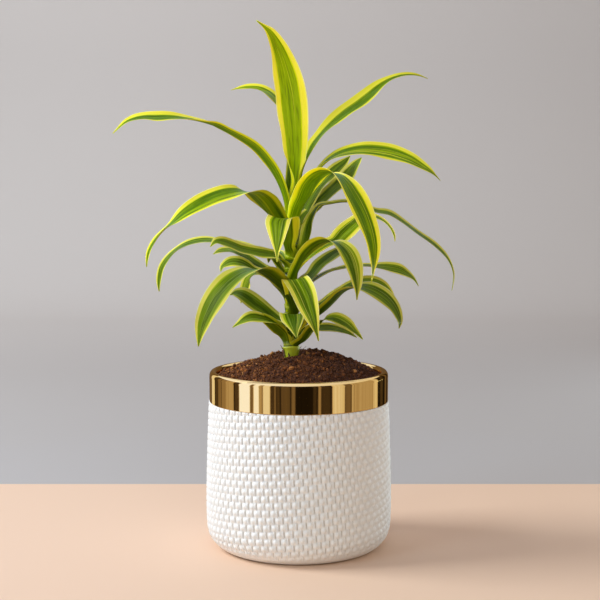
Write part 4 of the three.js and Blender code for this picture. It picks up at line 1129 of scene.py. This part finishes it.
def dry_scales(material):
    """Thin dry remains of the lowest leaf bases, standing round the foot of the stem."""
    points, faces = [], []
    rows, around = 9, 6
    for foot, tip, width in SCALES:
        foot, tip = np.array(foot), np.array(tip)
        out = np.array([foot[0] - CANE_X, foot[1], 0])
        out /= np.linalg.norm(out)
        sideways = np.array([-out[1], out[0], 0])
        faces += tube_faces(rows, around, len(points))
        for share in np.linspace(0, 1, rows):
            middle = lerp(foot, tip, share) - out * 1.2 * math.sin(share * math.pi)
            half = width / 2 * (1 - share) ** 0.7 + 0.06
            for turn in full_turn(around):
                points.append(middle + sideways * half * math.cos(turn) + out * 0.22 * math.sin(turn))
    return place(new_mesh("dry_scales", points, faces, [material]), "green_cane", "cane")


def middle_line(one, first, hug):
    """Rows evenly along a leaf, from its base on the cane at angle first to its tip, and its length."""
    sheath, (_, _, _, first_width, first_roll) = one["sheath"], one["rows"][0]
    sheath_width = min(SHEATH_WIDTH, first_width)
    swell = lerp(sheath_width, first_width, SHEATH_SWELL)
    foot = (CANE_X + hug * math.cos(first), hug * math.sin(first))
    given = [
        (*foot, sheath, sheath_width, 0),
        (*foot, sheath + SHEATH_RISE, swell, 0.15 * first_roll),
        *one["rows"],
    ]
    return evenly(centripetal(given), BLADE_ROWS + 1)


def blade(one, number, materials):
    """A strap leaf swept along its middle line: channelled, with thin margins, a midrib and ripples."""
    base_x, base_y = one["rows"][0][:2]
    first = math.atan2(base_y, base_x - CANE_X)
    hug = float(cane_radius(one["sheath"])) + CLEARANCE
    rows, length = middle_line(one, first, hug)
    middle, width, roll = rows[:, :3], np.maximum(rows[:, 3], TIP_WIDTH), np.radians(rows[:, 4])
    along = unit(np.gradient(middle, axis=0))
    share = np.linspace(0, 1, BLADE_ROWS + 1)
    swing = math.radians(one["heading"]) - first
    away = first + math.atan2(math.sin(swing), math.cos(swing)) * smoothstep(share, 0, HEADING_REACHED_AT)
    across = np.stack([np.sin(away), -np.cos(away), np.zeros_like(away)], axis=1)
    across = unit(across - along * np.sum(across * along, axis=1, keepdims=True))
    across = turned_about(across, along, roll)
    facing = np.cross(across, along)

    # The channel: an arc across the blade, which clasps the cane at the base
    half = width / 2
    hollow = lerp(half / hug, BLADE_CHANNEL, smoothstep(share, *OPENING_SPAN))
    bend = half / hollow
    columns = np.sin(np.linspace(-1, 1, BLADE_COLUMNS + 1) * math.pi / 2)
    angle = hollow[:, None] * columns[None, :]
    normal = facing[:, None, :] * np.cos(angle)[..., None] - across[:, None, :] * np.sin(angle)[..., None]
    centre = middle + facing * bend[:, None]
    upper = centre[:, None, :] - normal * bend[:, None, None]

    # Waves of the margins, the midrib and the thickness
    random = np.random.default_rng(number)
    waves = width.max() / 20 * RIPPLE * smoothstep(share, 0.2, 0.5) * (1 - smoothstep(share, 0.85, 1))
    phases = random.uniform(0, 2 * math.pi, 2)
    turns = length / random.uniform(*RIPPLE_LENGTHS, 2)
    left_wave, right_wave = (np.sin(share * 2 * math.pi * turns[k] + phases[k])[:, None] for k in (0, 1))
    wave = np.where(columns[None, :] < 0, left_wave, right_wave)
    lift = waves[:, None] * wave * np.abs(columns[None, :]) ** RIPPLE_POWER
    rib = np.exp(-((columns / MIDRIB_WIDTH) ** 2))[None, :] * np.ones_like(lift)
    fade = (1 - smoothstep(share, 0.7, 0.98))[:, None]
    thick = BLADE_THICKNESS * np.sqrt(np.clip(1 - columns**2, 0, 1))[None, :] * lerp(1.0, 0.5, share)[:, None]
    upper = upper + normal * (lift - MIDRIB_DEPTH * rib * fade)[..., None]
    under = upper - normal * (thick + 1.6 * MIDRIB_DEPTH * rib * fade)[..., None]

    lines, count = BLADE_ROWS + 1, BLADE_COLUMNS + 1
    ring = np.concatenate([upper, under[:, -2:0:-1]], axis=1)
    around = ring.shape[1]
    faces = tube_faces(lines, around)
    slots = [0 if f % around < count - 1 else 1 for f in range(BLADE_ROWS * around)] + [1, 1]
    piece = new_mesh(one["name"].replace("leaf_", "blade_"), ring.reshape(-1, 3), faces, materials, slots)

    both = np.concatenate([columns, columns[-2:0:-1]])
    bright = YOUNGEST_BRIGHT if number == 0 else YOUNG_BRIGHT if one["young"] else 0
    values = {
        "across": np.tile(both, lines),
        "along": np.repeat(share, around),
        "bright": np.full(lines * around, bright),
        # painted light and shade of the leaf, on its upper and on its under face
        "tone_and_painted_light": np.tile(np.where(np.arange(around) < count, *one["painted_light_and_shade"]), lines),
        "inner": np.tile(1 - np.where(both < 0, *one["margins"]), lines),
        "reach": np.repeat(share * length / 10, around),
        "seed": np.full(lines * around, random.random()),
    }
    for name, value in values.items():
        point_values(piece, name, value)
    lay_out(piece, lines, around, count)
    return place(piece, one["slot"], one["name"])


def lay_out(piece, rows, around, count):
    """A flat map of the blade: its upper face on one half, its under face on the other."""
    uv = piece.data.uv_layers.new(name="OFBake")
    loops = np.empty(len(piece.data.loops), np.int32)
    piece.data.loops.foreach_get("vertex_index", loops)
    row, column = loops // around, loops % around
    wrapped = column.copy()
    quads = (rows - 1) * around * 4
    face_column = (np.arange(quads) // 4) % around
    wrapped[:quads] = np.where((face_column == around - 1) & (column[:quads] == 0), around, column[:quads])
    under = np.ones(len(loops), bool)
    under[:quads] = face_column >= count - 1
    share = np.where(under, (wrapped - (count - 1)) / (count - 1), wrapped / (count - 1))
    u = np.where(under, 0.52 + 0.46 * share, 0.02 + 0.46 * share)
    v = 0.02 + 0.96 * row / (rows - 1)
    uv.data.foreach_set("uv", np.stack([u, v], axis=1).ravel().astype(np.float32))


camera()
lights()
studio()
pot(ceramic_material())
gold_collar(gold_material())
soil(soil_material())
cane(cane_material())
dry_scales(scale_material())
leaf_skins = {
    slot: [leaf_material(slot + "_upper"), leaf_material(slot + "_under")]
    for slot in ("young_leaf", "mature_leaf")
}
for number, one in enumerate(LEAVES):
    blade(one, number, leaf_skins[one["slot"]])

bpy.context.scene.view_settings.view_transform = "Standard"
